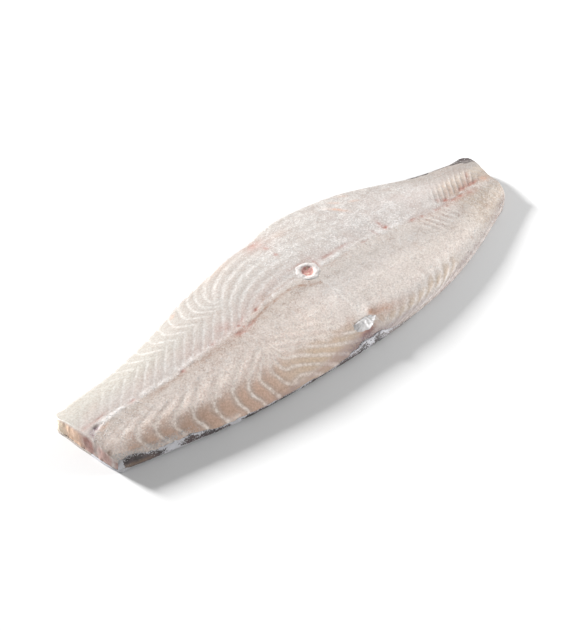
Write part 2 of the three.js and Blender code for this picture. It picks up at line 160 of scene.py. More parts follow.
# Frost along the belly side and the back side, and beads of ice along the middle line.
FROST_ON_BELLY = [
    (-206, 0.7), (-180, 0.8), (-60, 0.8), (-20, 0.9), (60, 1), (120, 0.9), (160, 0.7), (207, 0.6),
]
FROST_ON_BACK = [
    (-206, 0.1), (-165, 0.12), (-100, 0.18), (-40, 0.25), (0, 0.45), (60, 0.5), (100, 0.55), (125, 0.5),
    (150, 0.35), (207, 0.3),
]
BEADS_ALONG = [
    (-206, 0), (-198, 0.5), (-180, 0.8), (-150, 1), (-100, 0.9), (-75, 0.75), (-60, 0.4), (-45, 0.8),
    (-20, 0.55), (0, 0.35), (14, 0.1), (25, 0.6), (60, 0.3), (95, 0.3), (110, 0.1), (207, 0),
]
# Where the muscle by the belly edge goes over from brown to tan, how plain it is, and how wide.
BROWN_TO_TAN = (-85, -35)
AMBER_ALONG = [
    (-206, 0.2), (-196, 0.3), (-184, 0.85), (-60, 1), (-20, 0.9), (20, 0.75), (60, 0.7), (104, 0.7),
    (118, 0.2), (207, 0),
]
AMBER_WIDTH = [
    (-206, 8), (-185, 14), (-165, 17), (-138, 18), (-100, 20), (-60, 22), (-30, 21), (0, 19), (20, 14),
    (60, 12), (112, 12), (125, 5), (207, 3),
]

# How strong the painted shade is along the fillet: on the near half, on the far half and at the back's rim.
NEAR_SHADE = [
    (-206, 0.1), (-60, 0.1), (-40, 0.2), (-20, 0), (10, 0.1), (40, 0.45), (80, 0.65), (140, 0.95),
    (207, 1),
]
FAR_SHADE = [
    (-206, 0.05), (-150, 0.1), (-60, 0.2), (-20, 0.15), (0, 0.2), (40, 0.15), (80, 0.3), (110, 0.3),
    (140, 0.2), (160, 0.45), (207, 0.85),
]
# Strength of the painted shade on the high back rim, which the low key light from behind catches.
RIM_SHADE = [
    (-206, 0.2), (-110, 0.22), (-60, 0.5), (-20, 0.75), (40, 0.6), (110, 0.65), (140, 0.4), (170, 0.3),
    (207, 0.3),
]
# How plain the band of painted light and the strip of painted shade of each half are along the fillet.
NEAR_PAINTED_LIGHT = [
    (-206, 1.5), (-190, 1), (-170, 0.6), (-135, 0.6), (-115, 0.9), (-55, 1), (-35, 0.8), (-15, 0.4),
    (5, 0), (25, 0.05), (45, 0.35), (125, 0.35), (165, 0.1), (207, 0),
]
NEAR_PAINTED_SHADE = [
    (-206, 1.2), (-175, 1), (-155, 0.6), (-95, 0.55), (-55, 0.6), (-35, 0.9), (-5, 1), (25, 1.1),
    (45, 0.8), (85, 0.7), (105, 0.5), (125, 0.4), (145, 0.8), (207, 0.6),
]
FAR_PAINTED_LIGHT = [
    (-206, 0.45), (-80, 0.4), (-30, 0.1), (-10, 0), (80, 0), (105, 0.45), (165, 0.6), (185, 0.2),
    (207, 0),
]
FAR_PAINTED_SHADE = [
    (-206, 0.2), (-155, 0.4), (-115, 0.3), (-55, 0.4), (-35, 0.2), (5, 0.3), (45, 0), (85, 0.1), (125, 0),
    (145, 0.1), (165, 0.6), (207, 0.6),
]

# Stains on the flesh: (place, half length and half width, turn in degrees, strength).
BLOOD_SPOTS = [
    ((-198, 1), (3.5, 2), 0, 0.4), ((-187, 1), (7, 1.2), 4, 0.5), ((-161, -3.6), (2.8, 1.5), 0, 0.85),
    ((-119, -8), (2.4, 1.4), 10, 0.9), ((-88, -4.2), (1.8, 1.3), 0, 0.7),
    ((-67, -10), (4.6, 2.3), -10, 0.85), ((-63.5, -4.3), (1.4, 1.2), 0, 1),
    ((-61, -7.3), (1.4, 1.2), 0, 1), ((-56, -9), (5, 1.6), 10, 0.8), ((-72, 2), (5.5, 4), 0, 0.35),
    ((-58, -1), (3.5, 1.4), 30, 0.5), ((-44, -1.2), (2.2, 1.6), 20, 1.1), ((5, 55), (5, 2.4), 20, 0.5),
    ((7, 43), (1.7, 2), 0, 0.75), ((6, 31), (1.4, 2.2), 0, 0.7), ((4, 52), (10, 7), 0, 0.3),
    ((9, 10.6), (7, 1), 0, 0.45), ((19.5, 3), (1.2, 5), 0, 0.6), ((31, 3.6), (6.5, 1.3), -6, 0.65),
    ((47, 3.6), (5, 1.2), 0, 0.5), ((63, -3.4), (3, 1.2), 0, 0.5), ((77, -1), (1.2, 4), 10, 0.4),
    ((87.5, -2), (2.2, 1.9), 0, 1.2), ((87, 4), (1.5, 4), -8, 0.65), ((110, -8.5), (2.6, 1.3), 0, 0.85),
    ((119, -10.3), (1.8, 1.3), 0, 0.7), ((134, -11.5), (2.4, 1.8), 0, 0.55),
    ((143, -4), (2.5, 2), 0, 0.4), ((143, -12.5), (2.4, 1.6), 0, 0.5), ((148, -7.5), (2.2, 1.6), 0, 1.4),
    ((153, -11), (3.4, 1.8), 0, 0.75), ((160.5, -11.2), (3.4, 1.6), 0, 0.85),
    ((168.5, -5.8), (4, 1.9), 6, 1), ((180, -6), (6.5, 1.7), 0, 1), ((184.3, 3.4), (3.2, 1.2), 50, 0.9),
    ((171, -12.5), (5, 2.4), 0, 0.45), ((157, -2), (6, 3), 20, 0.2), ((178, -2), (5, 3), 20, 0.3),
    ((10, -61.3), (8, 1.7), 4, 1.2), ((-20, -62), (16, 1.3), 3, 0.4), ((-40, -63.5), (34, 1.2), -5, 0.2),
]
RUST_SPOTS = [
    ((22.5, -52.8), (3.6, 2.6), -20, 1), ((31, -55), (9, 4), -8, 0.75), ((44, -57.5), (14, 3), -4, 0.35),
    ((3, -50), (7, 3.5), 20, 0.4), ((-10, -52), (9, 2.2), 10, 0.3), ((192, -8), (4, 3), 0, 0.75),
    ((76.5, 38), (7.5, 1.7), -60, 0.85), ((82, 47), (4.5, 1.6), -55, 0.5),
    ((94, 38), (4, 1.6), -30, 0.55), ((94, 50), (4, 2), -40, 0.35), ((-86, 41.5), (3.2, 1.4), 30, 0.6),
    ((-30, 54), (18, 4), 8, 0.2), ((24, 48), (8, 4), 0, 0.2), ((-185, 11), (8, 3), 20, 0.15),
    ((-190, -7.6), (6, 1.7), 14, 0.6),
]
UMBER_SPOTS = [
    ((21.8, -53), (3, 2.2), -20, 0.35), ((26, -52), (5, 2.6), -10, 0.15),
    ((-134, -9.6), (27, 2.1), -1, 0.6), ((-92, -11), (16, 3.4), 0, 0.35),
    ((-199, -25), (3.6, 1.8), 40, 0.9), ((-32, 4.6), (2.4, 1.6), 0, 0.7),
    ((-46, -10.6), (5.5, 1.1), -25, 0.55), ((4, -8), (4.5, 1.6), -35, 0.5),
    ((129, -33), (3, 1.6), 0, 0.3), ((152, -26), (5, 3), 0, 0.25), ((172, -30), (3.6, 2), 20, 0.5),
    ((137.5, -44.7), (1.4, 1.2), 0, 0.9), ((124, 33), (4, 2), 0, 0.25), ((164, -13), (14, 3), 2, 0.8),
    ((125, -15), (16, 4), 0, 0.25), ((86, -24), (2.4, 1.5), 0, 0.4), ((92, -28), (2.4, 1.5), 0, 0.4),
    ((79, -26), (2.6, 1.6), 0, 0.35), ((74, -8), (1.6, 2.4), 0, 0.4), ((80, -12), (1.8, 2.4), 0, 0.35),
    ((190, 9), (5, 6), 0, 0.12), ((-62, -60.5), (40, 1.6), -5, 0.4), ((-135, -43), (20, 5), -17, 0.25),
]
# Frost on the skin of the belly edge: place along, half length, strength.
SKIN_FROST = [
    (-161, 8, 1.2), (-140, 5, 0.4), (-113, 9, 1), (-84, 5, 0.5), (-58, 8, 0.5), (-30, 6, 0.5),
    (6, 8, 0.7), (-8, 5, 0.45), (22, 5, 0.5), (60, 12, 0.4), (100, 10, 0.4),
]
PURPLE_SPOTS = [
    ((-193.2, -4.7), (2.3, 1.5), 10, 1.3), ((-199.4, -7.5), (4, 1.4), 70, 0.7),
    ((-196, -5), (6, 2.4), 20, 0.3), ((9, -62), (7, 1.1), 2, 0.6), ((4, -65.5), (24, 3), -2, 0.8),
    ((-70, -62), (30, 1), -4, 0.4), ((-12, -62), (26, 3), -3, 0.15), ((48, -66), (30, 1.8), 2, 0.3),
    ((100, -61), (34, 1.6), 16, 0.3),
]
# Dark lines and white lines in the flesh: (points, half width, strength).
UMBER_LINES = [
    (((-54, -8.5), (-35, -4.4), (-12, -3.4), (-5, -5.5), (1, -10.5), (9, -13.5)), 1.3, 1),
    (((-50, -2.6), (-32, 2.4), (-14, 3.2), (-3, 3.6)), 1, 0.5),
    (((20, -4), (34, -5), (48, -4)), 1.1, 0.35),
]
CHALK_LINES = [
    (((-202, -11.5), (-197, -8.8), (-190, -6), (-182, -4.3), (-172, -3.8)), 1.1, 0.9),
    (((-203, -17), (-202, -11)), 1, 0.8), (((-190, -2), (-180, -2.6), (-170, -3.4)), 1.4, 0.6),
    (((-69, -20), (-68, -28), (-67, -34)), 0.8, 0.45), (((-64, -14), (-62, -26), (-62, -38)), 0.8, 0.5),
    (((-58, -16), (-54, -24), (-49, -30)), 0.8, 0.5), (((-53, -14), (-50, -20)), 0.8, 0.4),
    (((-45, -23), (-42.5, -19.5)), 1, 0.9), (((-15, -43), (-6, -42), (0, -40)), 0.9, 0.6),
    (((-2, -37), (4, -34.5), (9, -29.5)), 1.1, 0.8), (((-41, -39), (-30, -44), (-20, -47)), 0.9, 0.5),
    (((-24, -30), (-10, -31)), 0.9, 0.35), (((-155, -14), (-152, -18)), 1.1, 0.5),
    (((10, -12), (12.5, -18), (11.5, -24), (13, -27), (12, -34), (13, -42), (16, -46)), 1.1, 0.6),
    (((12, -25), (14, -29)), 1.7, 0.5), (((13, -45.5), (19, -47.5)), 2.4, 1.1),
    (((14, -50), (18, -50)), 2, 0.5), (((22, -0.5), (26, -0.5)), 1.7, 0.7),
    (((32, -1), (39, -1)), 1.7, 0.8), (((65, -2), (73, -2.2)), 1.6, 0.5),
    (((80, -3), (84, -6)), 2.2, 0.9), (((92, -4), (97, -5.5)), 2, 0.9), (((86, -19), (95, -23)), 4, 0.4),
    (((151, -8.5), (157, -9)), 1.3, 0.7), (((173, -8), (178, -9)), 1.2, 0.5),
    (((164, -8.5), (168, -9.5)), 1.1, 0.4),
    (((134, -47), (137, -42.5), (141, -43), (150, -39), (160, -36)), 1.5, 0.4),
    (((-196, -30), (-188, -33), (-176, -37), (-165, -41), (-155, -42)), 1.2, 0.45),
    (((-199, -28), (-202, -31)), 1.6, 0.9), (((-118, -55), (-110, -56)), 2, 0.8),
    (((-60, -61.5), (-20, -62.5), (0, -61)), 1.5, 0.5), (((20, -66.5), (60, -66), (84, -62)), 1.3, 0.5),
    (((10, -57), (18, -62), (30, -64)), 2.2, 0.45), (((83, -51), (87, -49)), 1.6, 0.5),
    (((92, -53), (94, -51)), 1.4, 0.5),
]


# ---- Lines and ramps

def track(stations, place):
    """Smooth line through (place, value) stations: cubic pieces, with slopes set by the stations beside."""
    at, value = np.array(stations, float).T
    last = len(at) - 1
    before = np.maximum(np.arange(last + 1) - 1, 0)
    after = np.minimum(np.arange(last + 1) + 1, last)
    slope = (value[after] - value[before]) / (at[after] - at[before])
    place = np.clip(place, at[0], at[-1])
    i = np.clip(np.searchsorted(at, place, side="right") - 1, 0, last - 1)
    step = at[i + 1] - at[i]
    t = (place - at[i]) / step
    return (
        (2 * t**3 - 3 * t**2 + 1) * value[i]
        + (t**3 - 2 * t**2 + t) * step * slope[i]
        + (3 * t**2 - 2 * t**3) * value[i + 1]
        + (t**3 - t**2) * step * slope[i + 1]
    )


def lerp(a, b, t):
    return a + (b - a) * t


def smooth(x, low, high):
    """0 below low, 1 above high, and a soft step between them."""
    t = np.clip((x - low) / (high - low), 0, 1)
    return t * t * (3 - 2 * t)


def ramp(distance, softness):
    """Flat before a place and climbing after it, with a soft corner."""
    return (distance + np.hypot(distance, softness)) / 2


def bell(off, width):
    """1 on a line, and fading away within about that width beside it."""
    return np.exp(-((off / width) ** 2))


def middle(x):
    return track(MIDLINE, x)


def spot(x, y, at, size, turn=0.0):
    """A soft oval patch, 1 in its middle. Its size is the half length and half width, turned by degrees."""
    c, s = math.cos(math.radians(turn)), math.sin(math.radians(turn))
    along = (x - at[0]) * c + (y - at[1]) * s
    across = (y - at[1]) * c - (x - at[0]) * s
    return np.exp(-((along / size[0]) ** 2 + (across / size[1]) ** 2))


def spots(x, y, entries):
    return sum(strength * spot(x, y, at, size, turn) for at, size, turn, strength in entries)


def strokes(x, y, entries):
    """Soft lines through their points."""
    total = 0
    for path, width, strength in entries:
        nearest = np.full(np.shape(x), 1e3)
        for (x0, y0), (x1, y1) in zip(path[:-1], path[1:]):
            along = ((x - x0) * (x1 - x0) + (y - y0) * (y1 - y0)) / ((x1 - x0) ** 2 + (y1 - y0) ** 2)
            along = np.clip(along, 0, 1)
            nearest = np.minimum(nearest, np.hypot(x - lerp(x0, x1, along), y - lerp(y0, y1, along)))
        total = total + strength * bell(nearest, width)
    return total


def ragged(u, pitch, seed):
    """Uneven from -1 to 1 along the fillet, with its bumps about that many millimetres apart."""
    values = np.random.default_rng(seed).uniform(-1, 1, int(LENGTH / pitch) + 3)
    at = np.clip(u, 0, 1) * LENGTH / pitch
    i = at.astype(int)
    t = at - i
    return lerp(values[i], values[i + 1], t * t * (3 - 2 * t))


def grain(points, size, seed):
    """Soft random unevenness from -1 to 1 at (n, 3) points, with lumps of about that size."""
    repeat = 64
    lattice = np.random.default_rng(seed).uniform(-1, 1, (repeat, repeat, repeat))
    at = np.asarray(points) / size
    cell = np.floor(at).astype(int)
    t = at - cell
    t = t * t * (3 - 2 * t)
    total = 0
    for corner in np.ndindex(2, 2, 2):
        share = np.prod(np.where(corner, t, 1 - t), axis=-1)
        i, j, k = ((cell + corner) % repeat).T
        total = total + share * lattice[i, j, k]
    return total


# ---- Muscle segments: each count runs through the whole numbers at the sheets between the segments.

# How far the arcs about the ring fall away towards the thick end: (place along, fall).
ARC_FALL = [
    (-206, 170), (-150, 115.5), (-110, 74), (-90, 53), (-72, 34), (-60, 21.5), (-50, 13), (-40, 7.5),
    (-30, 3.7), (-20, 1.2), (-10, 0.3), (10, 0),
]
# Count of the sheets where they turn back below the back edge, 28 mm up.
UPPER_TURN = 28
UPPER_COUNT = [
    (-206, -17.2), (-171, -14), (-149, -12), (-137, -11), (-126, -10), (-113, -9), (-103, -8), (-93, -7),
    (-82.5, -6), (-74, -5), (-67, -4), (-60, -3), (-52, -2), (-44, -1), (-36, 0),
]


def back_segments(x, y):
    up = y - middle(x)
    towards_tail = np.hypot(up, 0.62 * (x - RING["x"]))
    height = np.where(x > RING["x"], towards_tail, up + track(ARC_FALL, x))
    tail = (x - TAIL_SLANT["back"] * up) / SPACING["back_tail"]
    return lerp((14 - height) / SPACING["arcs"], tail, smooth(x, *TAIL_SHEETS_FROM["back"]))


def upper_segments(x, y):
    """The same sheets high on the back side of the thick half, above the place where they turn back."""
    over = np.maximum(y - UPPER_TURN, 0)
    under = ramp(UPPER_TURN - y, 3)
    return track(UPPER_COUNT, x - 0.12 * over - 0.0175 * over**2 - 1.25 * under + 1.9)


# Along the belly edge the sheets turn back in a row of C shapes, with their backs to the thick end.
C_BACKS = [(-206, -22), (-178, -28), (-154, -36), (-138, -40), (-123, -44), (-94, -48), (-60, -45)]
C_COUNT = [
    (-206, -2.1), (-179, 0), (-166, 1), (-153, 2), (-138, 3), (-123, 4), (-107, 5), (-94, 6), (-82.5, 7),
    (-72, 8), (-64, 9), (-56, 10),
]


def belly_segments(x, y):
    root = x
    flatter = 1 + 3.5 * smooth(-x, 118, 150)
    for _ in range(14):
        above = y - track(C_BACKS, root)
        bend = 0.8 * ramp(above - 0.5, 3) + flatter * ramp(above - 5.5, 3) + 0.5 * ramp(-above - 1, 4)
        root = lerp(root, x - bend + 1.2, 0.5)
    down = middle(x) - y
    along = x - RING["x"]
    fall = down + 0.8 * (np.hypot(along, 38) - 38)
    arcs = 15 - (fall - 38) / SPACING["belly_arcs"]
    edge = np.maximum(y - track(BELLY_EDGE, x), 0.5)
    hooks = (x + 7 * 17 / (edge + 1) + 0.35 * np.maximum(edge - 20, 0)) / SPACING["belly_hooks"]
    tail = (x - TAIL_SLANT["belly"] * down) / SPACING["belly_tail"]
    body = lerp(track(C_COUNT, root), arcs, smooth(x, -68, -54))
    body = lerp(body, hooks, smooth(x, 18, 24))
    return lerp(body, tail, smooth(x, *TAIL_SHEETS_FROM["belly"]) * smooth(y, -36, -30))


def segment_pitch(count, x, y):
    """Millimetres from one sheet to the next at each point."""
    step = 0.5
    along = (count(x + step, y) - count(x - step, y)) / (2 * step)
    across = (count(x, y + step) - count(x, y - step)) / (2 * step)
    return np.clip(1 / np.maximum(np.hypot(along, across), 1e-3), 3, 14)


# ---- Top of the fillet

def top_height(x, y):
    """Smooth top: crowned along the middle line, falling away to the two rims."""
    line = middle(x)
    crown = track(CROWN_HEIGHT, x)
    on_back = y > line
    back = track(BACK_EDGE, x) - ROUNDING["back"]["rim"]
    belly = track(BELLY_EDGE, x) + ROUNDING["belly"]["rim"]
    rim = np.where(on_back, track(BACK_RIM, x), track(BELLY_RIM, x))
    share = np.clip((y - line) / (np.where(on_back, back, belly) - line), 0, 1.3)
    return rim + (crown - rim) * (1 - share ** np.where(on_back, 3, 2.4))


def lumps(x, y):
    """Broad unevenness of the top."""
    return 0.1 * np.sin(x / 17 + y / 23) + 0.08 * np.sin(x / 29 - y / 13 + 1) + 0.03 * np.sin(x / 7 + y / 9)


def furrows(x, y):
    """Grooves and hollows: the middle line, the two seams across it, the pit by the ice, the end's hole."""
    off_line = y - middle(x)
    line = lerp(0.05, 0.25, smooth(x, 100, 170)) * bell(off_line, 3.2)
    ring_seam = 0.12 * bell(x - RING["x"] + 0.1 * off_line, 3)
    tail_seam = 0.1 * bell(x - TAIL_SEAM - 0.06 * off_line, 3)
    pit = 1.1 * spot(x, y, PIT, (4.5, 3.5), -20)
    hole = 0.8 * spot(x, y, END_HOLE, (2.8, 1.8), 10)
    return line + (ring_seam + tail_seam) * smooth(abs(off_line), 6, 12) + pit + hole


def sheet_depths(x, y):
    """How plainly the sheets show: on the back side, high on it, and on the belly side."""
    up = y - middle(x)
    shown = track(SHEETS_ON_BACK, x)
    thick_half = 1 - smooth(x, -66, -50)
    lower = 1 - smooth(y, 15, 21) * thick_half
    on_back = shown * smooth(up, 1, 4) * (1 - 0.75 * smooth(up, 14, 20) * smooth(x, 120, 140)) * lower
    on_back = on_back * (1 - smooth(x, 2, 16) * (1 - smooth(up, 10, 20)) * (1 - smooth(x, 100, 120)))
    on_back = on_back * (1 - smooth(up, 28, 34) * smooth(x, 120, 140))
    on_upper = shown * smooth(y, 16, 21) * (1 - smooth(x, -62, -46)) * (1 - 0.6 * smooth(-x, 140, 165))
    edge = y - track(BELLY_EDGE, x)
    reach = track(SHEETS_FROM_BELLY_EDGE, x)
    near_edge = track(SHEETS_ON_BELLY, x) * (1 - smooth(edge, 0.7 * reach, 1.15 * reach))
    near_edge = near_edge * (1 - smooth(x, 108, 114))
    near_tail = smooth(x, 106, 112) * (1 - smooth(x, 142, 152)) * smooth(y, -32, -25)
    on_belly = np.maximum(near_edge, near_tail) * smooth(-up, 1.5, 5)
    return on_back, on_upper, on_belly


# ---- Plan: a patch between the two long edges (v = 0 and 1) and the two ends (u = 0 and 1).

def long_edge(edge, span, u):
    x = lerp(*span, u)
    return np.stack([x, track(edge, x)], axis=-1)


def end_edge(stations, start, stop, v):
    """An end's own line, moved so that it meets both long edges."""
    def raw(t):
        y = lerp(stations[0][0], stations[-1][0], t)
        return np.stack([track(stations, y), y], axis=-1)

    miss_start, miss_stop = start - raw(np.array(0.0)), stop - raw(np.array(1.0))
    v = np.asarray(v)
    return raw(v) + miss_start * (1 - v)[..., None] + miss_stop * v[..., None]


def plan_point(u, v):
    u, v = np.broadcast_arrays(np.asarray(u, float), np.asarray(v, float))
    belly, back = long_edge(BELLY_EDGE, BELLY_SPAN, u), long_edge(BACK_EDGE, BACK_SPAN, u)
    ends = np.array([0.0, 1.0])
    belly0, belly1 = long_edge(BELLY_EDGE, BELLY_SPAN, ends)
    back0, back1 = long_edge(BACK_EDGE, BACK_SPAN, ends)
    thick = end_edge(THICK_END, belly0, back0, v)
    tail = end_edge(TAIL_END, belly1, back1, v)
    u, v = u[..., None], v[..., None]
    low, high = lerp(belly0, belly1, u), lerp(back0, back1, u)
    return lerp(belly, back, v) + lerp(thick, tail, u) - lerp(low, high, v)


def width_at(u):
    return long_edge(BACK_EDGE, BACK_SPAN, u)[..., 1] - long_edge(BELLY_EDGE, BELLY_SPAN, u)[..., 1]


# ---- Edge: the side from the flat underside (climb 0) up to the rim (climb 1) and over it.

def rounding(u, side):
    """Rounding at places along a side, eased from the long edges into the ends."""
    thick = np.ones_like(u) if side == "thick" else 1 - smooth(u, 0, 0.03)
    tail = np.ones_like(u) if side == "tail" else smooth(u, 0.965, 1)
    own, at_thick, at_tail = ROUNDING[side], ROUNDING["thick"], ROUNDING["tail"]
    return [lerp(lerp(own[k], at_thick[k], thick), at_tail[k], tail) for k in ("rim", "under", "widest")]


def side_profile(place, side, climb):
    """Inset from the outline and height of the flesh's side, at a climb from 0 to 1."""
    u, v, rim_height = place
    rim, under, widest = rounding(u, side)
    turn = lerp(-math.pi / 2, RIM_TURN, climb)
    middle_height = lerp(WRAP, rim_height, widest)
    hollow = END_DENT * np.sin(math.pi * v) * np.sin(math.pi * climb) ** 2
    start = WRAP + (hollow if side == "thick" else 0)
    over = (1 - np.cos(turn)) / (1 - math.cos(RIM_TURN))
    rise = np.sin(turn) / math.sin(RIM_TURN)
    below = turn < 0
    inset = start + np.where(below, under * (1 - np.cos(turn)), (rim - WRAP) * over)
    height = lerp(middle_height, np.where(below, WRAP, rim_height), np.where(below, -np.sin(turn), rise))
    return inset, height


def moved_profile(place, side, climb, outwards):
    """The same profile moved outwards by a distance, square to itself. At climb 0 that is straight down."""
    inset, height = side_profile(place, side, climb)
    step = 0.02
    low = side_profile(place, side, np.maximum(climb - step, 0))
    high = side_profile(place, side, np.minimum(climb + step, 1))
    run, rise = high[0] - low[0], high[1] - low[1]
    length = np.hypot(run, rise)
    run, rise = np.where(climb == 0, -1, run / length), np.where(climb == 0, 0, rise / length)
    return inset - rise * outwards, height + run * outwards


def point_inset(place, side, inset_of):
    """Plan points at places on one side, moved in by an inset that may differ from side to side."""
    u, v, _ = place
    own = inset_of(side)
    if side in ("belly", "back"):
        end_share = 1 - smooth(np.minimum(u, 1 - u), 0, 0.04)
        along = lerp(inset_of("thick"), -inset_of("tail"), u) / LENGTH
        across = own / width_at(u)
        return plan_point(np.clip(u + along * end_share, 0, 1), across if side == "belly" else 1 - across)
    along = own / LENGTH
    across = lerp(inset_of("belly"), -inset_of("back"), v) / width_at(u)
    return plan_point(along if side == "thick" else 1 - along, v + across)


def border_runs(alongs, acrosses):
    """The four runs of places round the border, in order: {side: (u, v, height of the rim)}."""
    runs = {
        "belly": (alongs[:-1], np.zeros(len(alongs) - 1)),
        "tail": (np.ones(len(acrosses) - 1), acrosses[:-1]),
        "back": (alongs[::-1][:-1], np.ones(len(alongs) - 1)),
        "thick": (np.zeros(len(acrosses) - 1), acrosses[::-1][:-1]),
    }
    out = {}
    for side, (u, v) in runs.items():
        rim = point_inset((u, v, 0), side, lambda other, u=u: rounding(u, other)[0])
        out[side] = (u, v, top_height(rim[:, 0], rim[:, 1]))
    return out


def side_loop(runs, climbs, outwards):
    """Loop of points round the fillet. A climb above 1 runs on over the top."""
    points = []
    for side, place in runs.items():
        climb = np.broadcast_to(climbs[side], place[0].shape)
        off = np.broadcast_to(outwards[side] if isinstance(outwards, dict) else outwards, climb.shape)
        wall = np.minimum(climb, 1)
        over = np.maximum(climb - 1, 0) * OVER_TOP
        plan = point_inset(place, side, lambda other: moved_profile(place, other, wall, off)[0] + over)
        wall_height = moved_profile(place, side, wall, off)[1]
        z = np.where(over > 0, top_height(plan[:, 0], plan[:, 1]) + off, wall_height)
        points.append(np.column_stack([plan, z]))
    return np.concatenate(points)


SIDES = ("belly", "tail", "back", "thick")


def even(value):
    return {side: value for side in SIDES}


# ---- Meshes

def band(start, stop, count):
    """Faces between two loops of points, given by the index at which each starts."""
    i = np.arange(count)
    j = (i + 1) % count
    return np.column_stack([start + i, start + j, stop + j, stop + i])


def dome_faces(around, loops):
    """Faces of loops of points one inside the other, closed by a last point in the middle."""
    i = np.arange(around)
    last = (loops - 1) * around
    bands = [band(k * around, (k + 1) * around, around) for k in range(loops - 1)]
    cap = np.column_stack([last + i, last + (i + 1) % around, np.full(around, loops * around)])
    return [*np.concatenate(bands), *cap]


def to_frame(points):
    """Metres in the frame, from millimetres in the fillet's own plan."""
    return (np.asarray(points) + SHIFT) * MM


def make_mesh(name, points, faces, marks=None):
    """A smooth mesh piece from points in millimetres, with named values on its points."""
    mesh = bpy.data.meshes.new(name)
    mesh.from_pydata(to_frame(points).tolist(), [], [list(map(int, f)) for f in faces])
    mesh.validate()
    mesh.shade_smooth()
    for key, values in (marks or {}).items():
        mark = mesh.attributes.new(key, "FLOAT", "POINT")
        mark.data.foreach_set("value", np.asarray(values, np.float32))
    piece = bpy.data.objects.new(name, mesh)
    bpy.context.scene.collection.objects.link(piece)
    return piece


ALONG = np.concatenate([
    np.linspace(0, TAIL_FROM, COLUMNS - TAIL_COLUMNS + 1)[:-1],
    np.linspace(TAIL_FROM, 1, TAIL_COLUMNS + 1),
])
ACROSS = np.linspace(0, 1, ROWS + 1)


def flesh_surface():
    """Smooth points and faces of the flesh: the top patch first, then the loops down its side."""
    runs = border_runs(ALONG, ACROSS)
    loops = [side_loop(runs, even(1 - i / SIDE_STEPS), 0) for i in range(SIDE_STEPS + 1)]
    rim = loops[0]
    count = len(rim)
    low = rim[: COLUMNS + 1]
    tail = rim[COLUMNS : COLUMNS + ROWS + 1]
    high = rim[COLUMNS + ROWS : 2 * COLUMNS + ROWS + 1][::-1]
    thick = np.concatenate([rim[2 * COLUMNS + ROWS :], rim[:1]])[::-1]
    u, v = ALONG[:, None, None], ACROSS[None, :, None]
    patch = (
        lerp(low[:, None], high[:, None], v)
        + lerp(thick[None], tail[None], u)
        - lerp(lerp(low[0], low[-1], u), lerp(high[0], high[-1], u), v)
    )
    patch[..., 2] = top_height(patch[..., 0], patch[..., 1])
    patch[:, 0], patch[:, -1], patch[0], patch[-1] = low, high, thick, tail

    index = np.arange((COLUMNS + 1) * (ROWS + 1)).reshape(COLUMNS + 1, ROWS + 1)
    top_faces = np.stack([index[:-1, :-1], index[1:, :-1], index[1:, 1:], index[:-1, 1:]], axis=-1)
    border = np.concatenate([index[:-1, 0], index[-1, :-1], index[::-1, -1][:-1], index[0, ::-1][:-1]])
    points = np.concatenate([patch.reshape(-1, 3), *loops[1:]])
    first = index.size
    i = np.arange(count)
    j = (i + 1) % count
    faces = [top_faces.reshape(-1, 4), np.column_stack([first + i, first + j, border[j], border[i]])]
    for k in range(SIDE_STEPS - 1):
        faces.append(band(first + (k + 1) * count, first + k * count, count))
    underside = first + (SIDE_STEPS - 1) * count + np.arange(count)[::-1]
    depth = np.zeros(len(points))
    for k in range(1, SIDE_STEPS + 1):
        depth[first + (k - 1) * count : first + k * count] = k / SIDE_STEPS
    return points, [*np.concatenate(faces), underside], depth


def surface_normals(points, faces):
    """Outward unit normals at the points of a closed surface of four-sided faces."""
    a, b, c, d = (points[faces[:, k]] for k in range(4))
    face_normals = np.cross(c - a, d - b)
    normals = np.zeros_like(points)
    for k in range(4):
        np.add.at(normals, faces[:, k], face_normals)
    return normals / np.maximum(np.linalg.norm(normals, axis=1, keepdims=True), 1e-9)


# The counts of each side's sheets, how high the pads between them are, and the fins at them in the tail.
SEGMENTS = {
    "back": (back_segments, 0.07, 0.5),
    "upper": (upper_segments, 0.07, 0),
    "belly": (belly_segments, 0.09, 0.2),
}


def segment_relief(x, y):
    """Relief of the muscle segments, and the marks from which the finish draws their sheets."""
    pads, fins, marks = 0, 0, {}
    for (side, (segments, pad, fin)), shown in zip(SEGMENTS.items(), sheet_depths(x, y)):
        count, pitch = segments(x, y), segment_pitch(segments, x, y)
        off = abs(count - np.round(count)) * pitch
        pads = pads - pad * shown * np.cos(2 * math.pi * count)
        fins = fins + fin * shown * (bell(off, 0.7) - 0.4)
        marks.update({side + "_count": count, side + "_pitch": pitch, side + "_sheets": shown})
    return lerp(pads, fins, smooth(x, 122, 142)), marks


def flesh_places(points, depth):
    """Where points of the flesh lie: distances from its lines, and soft regions from 0 to 1."""
    x, y = points[:, 0], points[:, 1]
    line, belly_edge = middle(x), track(BELLY_EDGE, x)
    up, edge = y - line, y - belly_edge
    wavy = edge + 2.6 * grain(points, 7, 17) + 1.2 * grain(points, 2.5, 18)
    width = track(AMBER_WIDTH, x)
    return SimpleNamespace(
        x=x, y=y, depth=depth, up=up, edge=edge,
        from_line=np.clip(-up / (line - belly_edge), 0, 1.2),
        to_rim=np.clip(up / (track(BACK_EDGE, x) - line), 0, 1.2),
        near=smooth(-up, -3, 5),
        amber=track(AMBER_ALONG, x) * (1 - smooth(wavy, 0.5 * width, 1.25 * width)),
        cut=smooth(depth, 0.03, 0.12) * smooth(-x, 192, 198),
    )


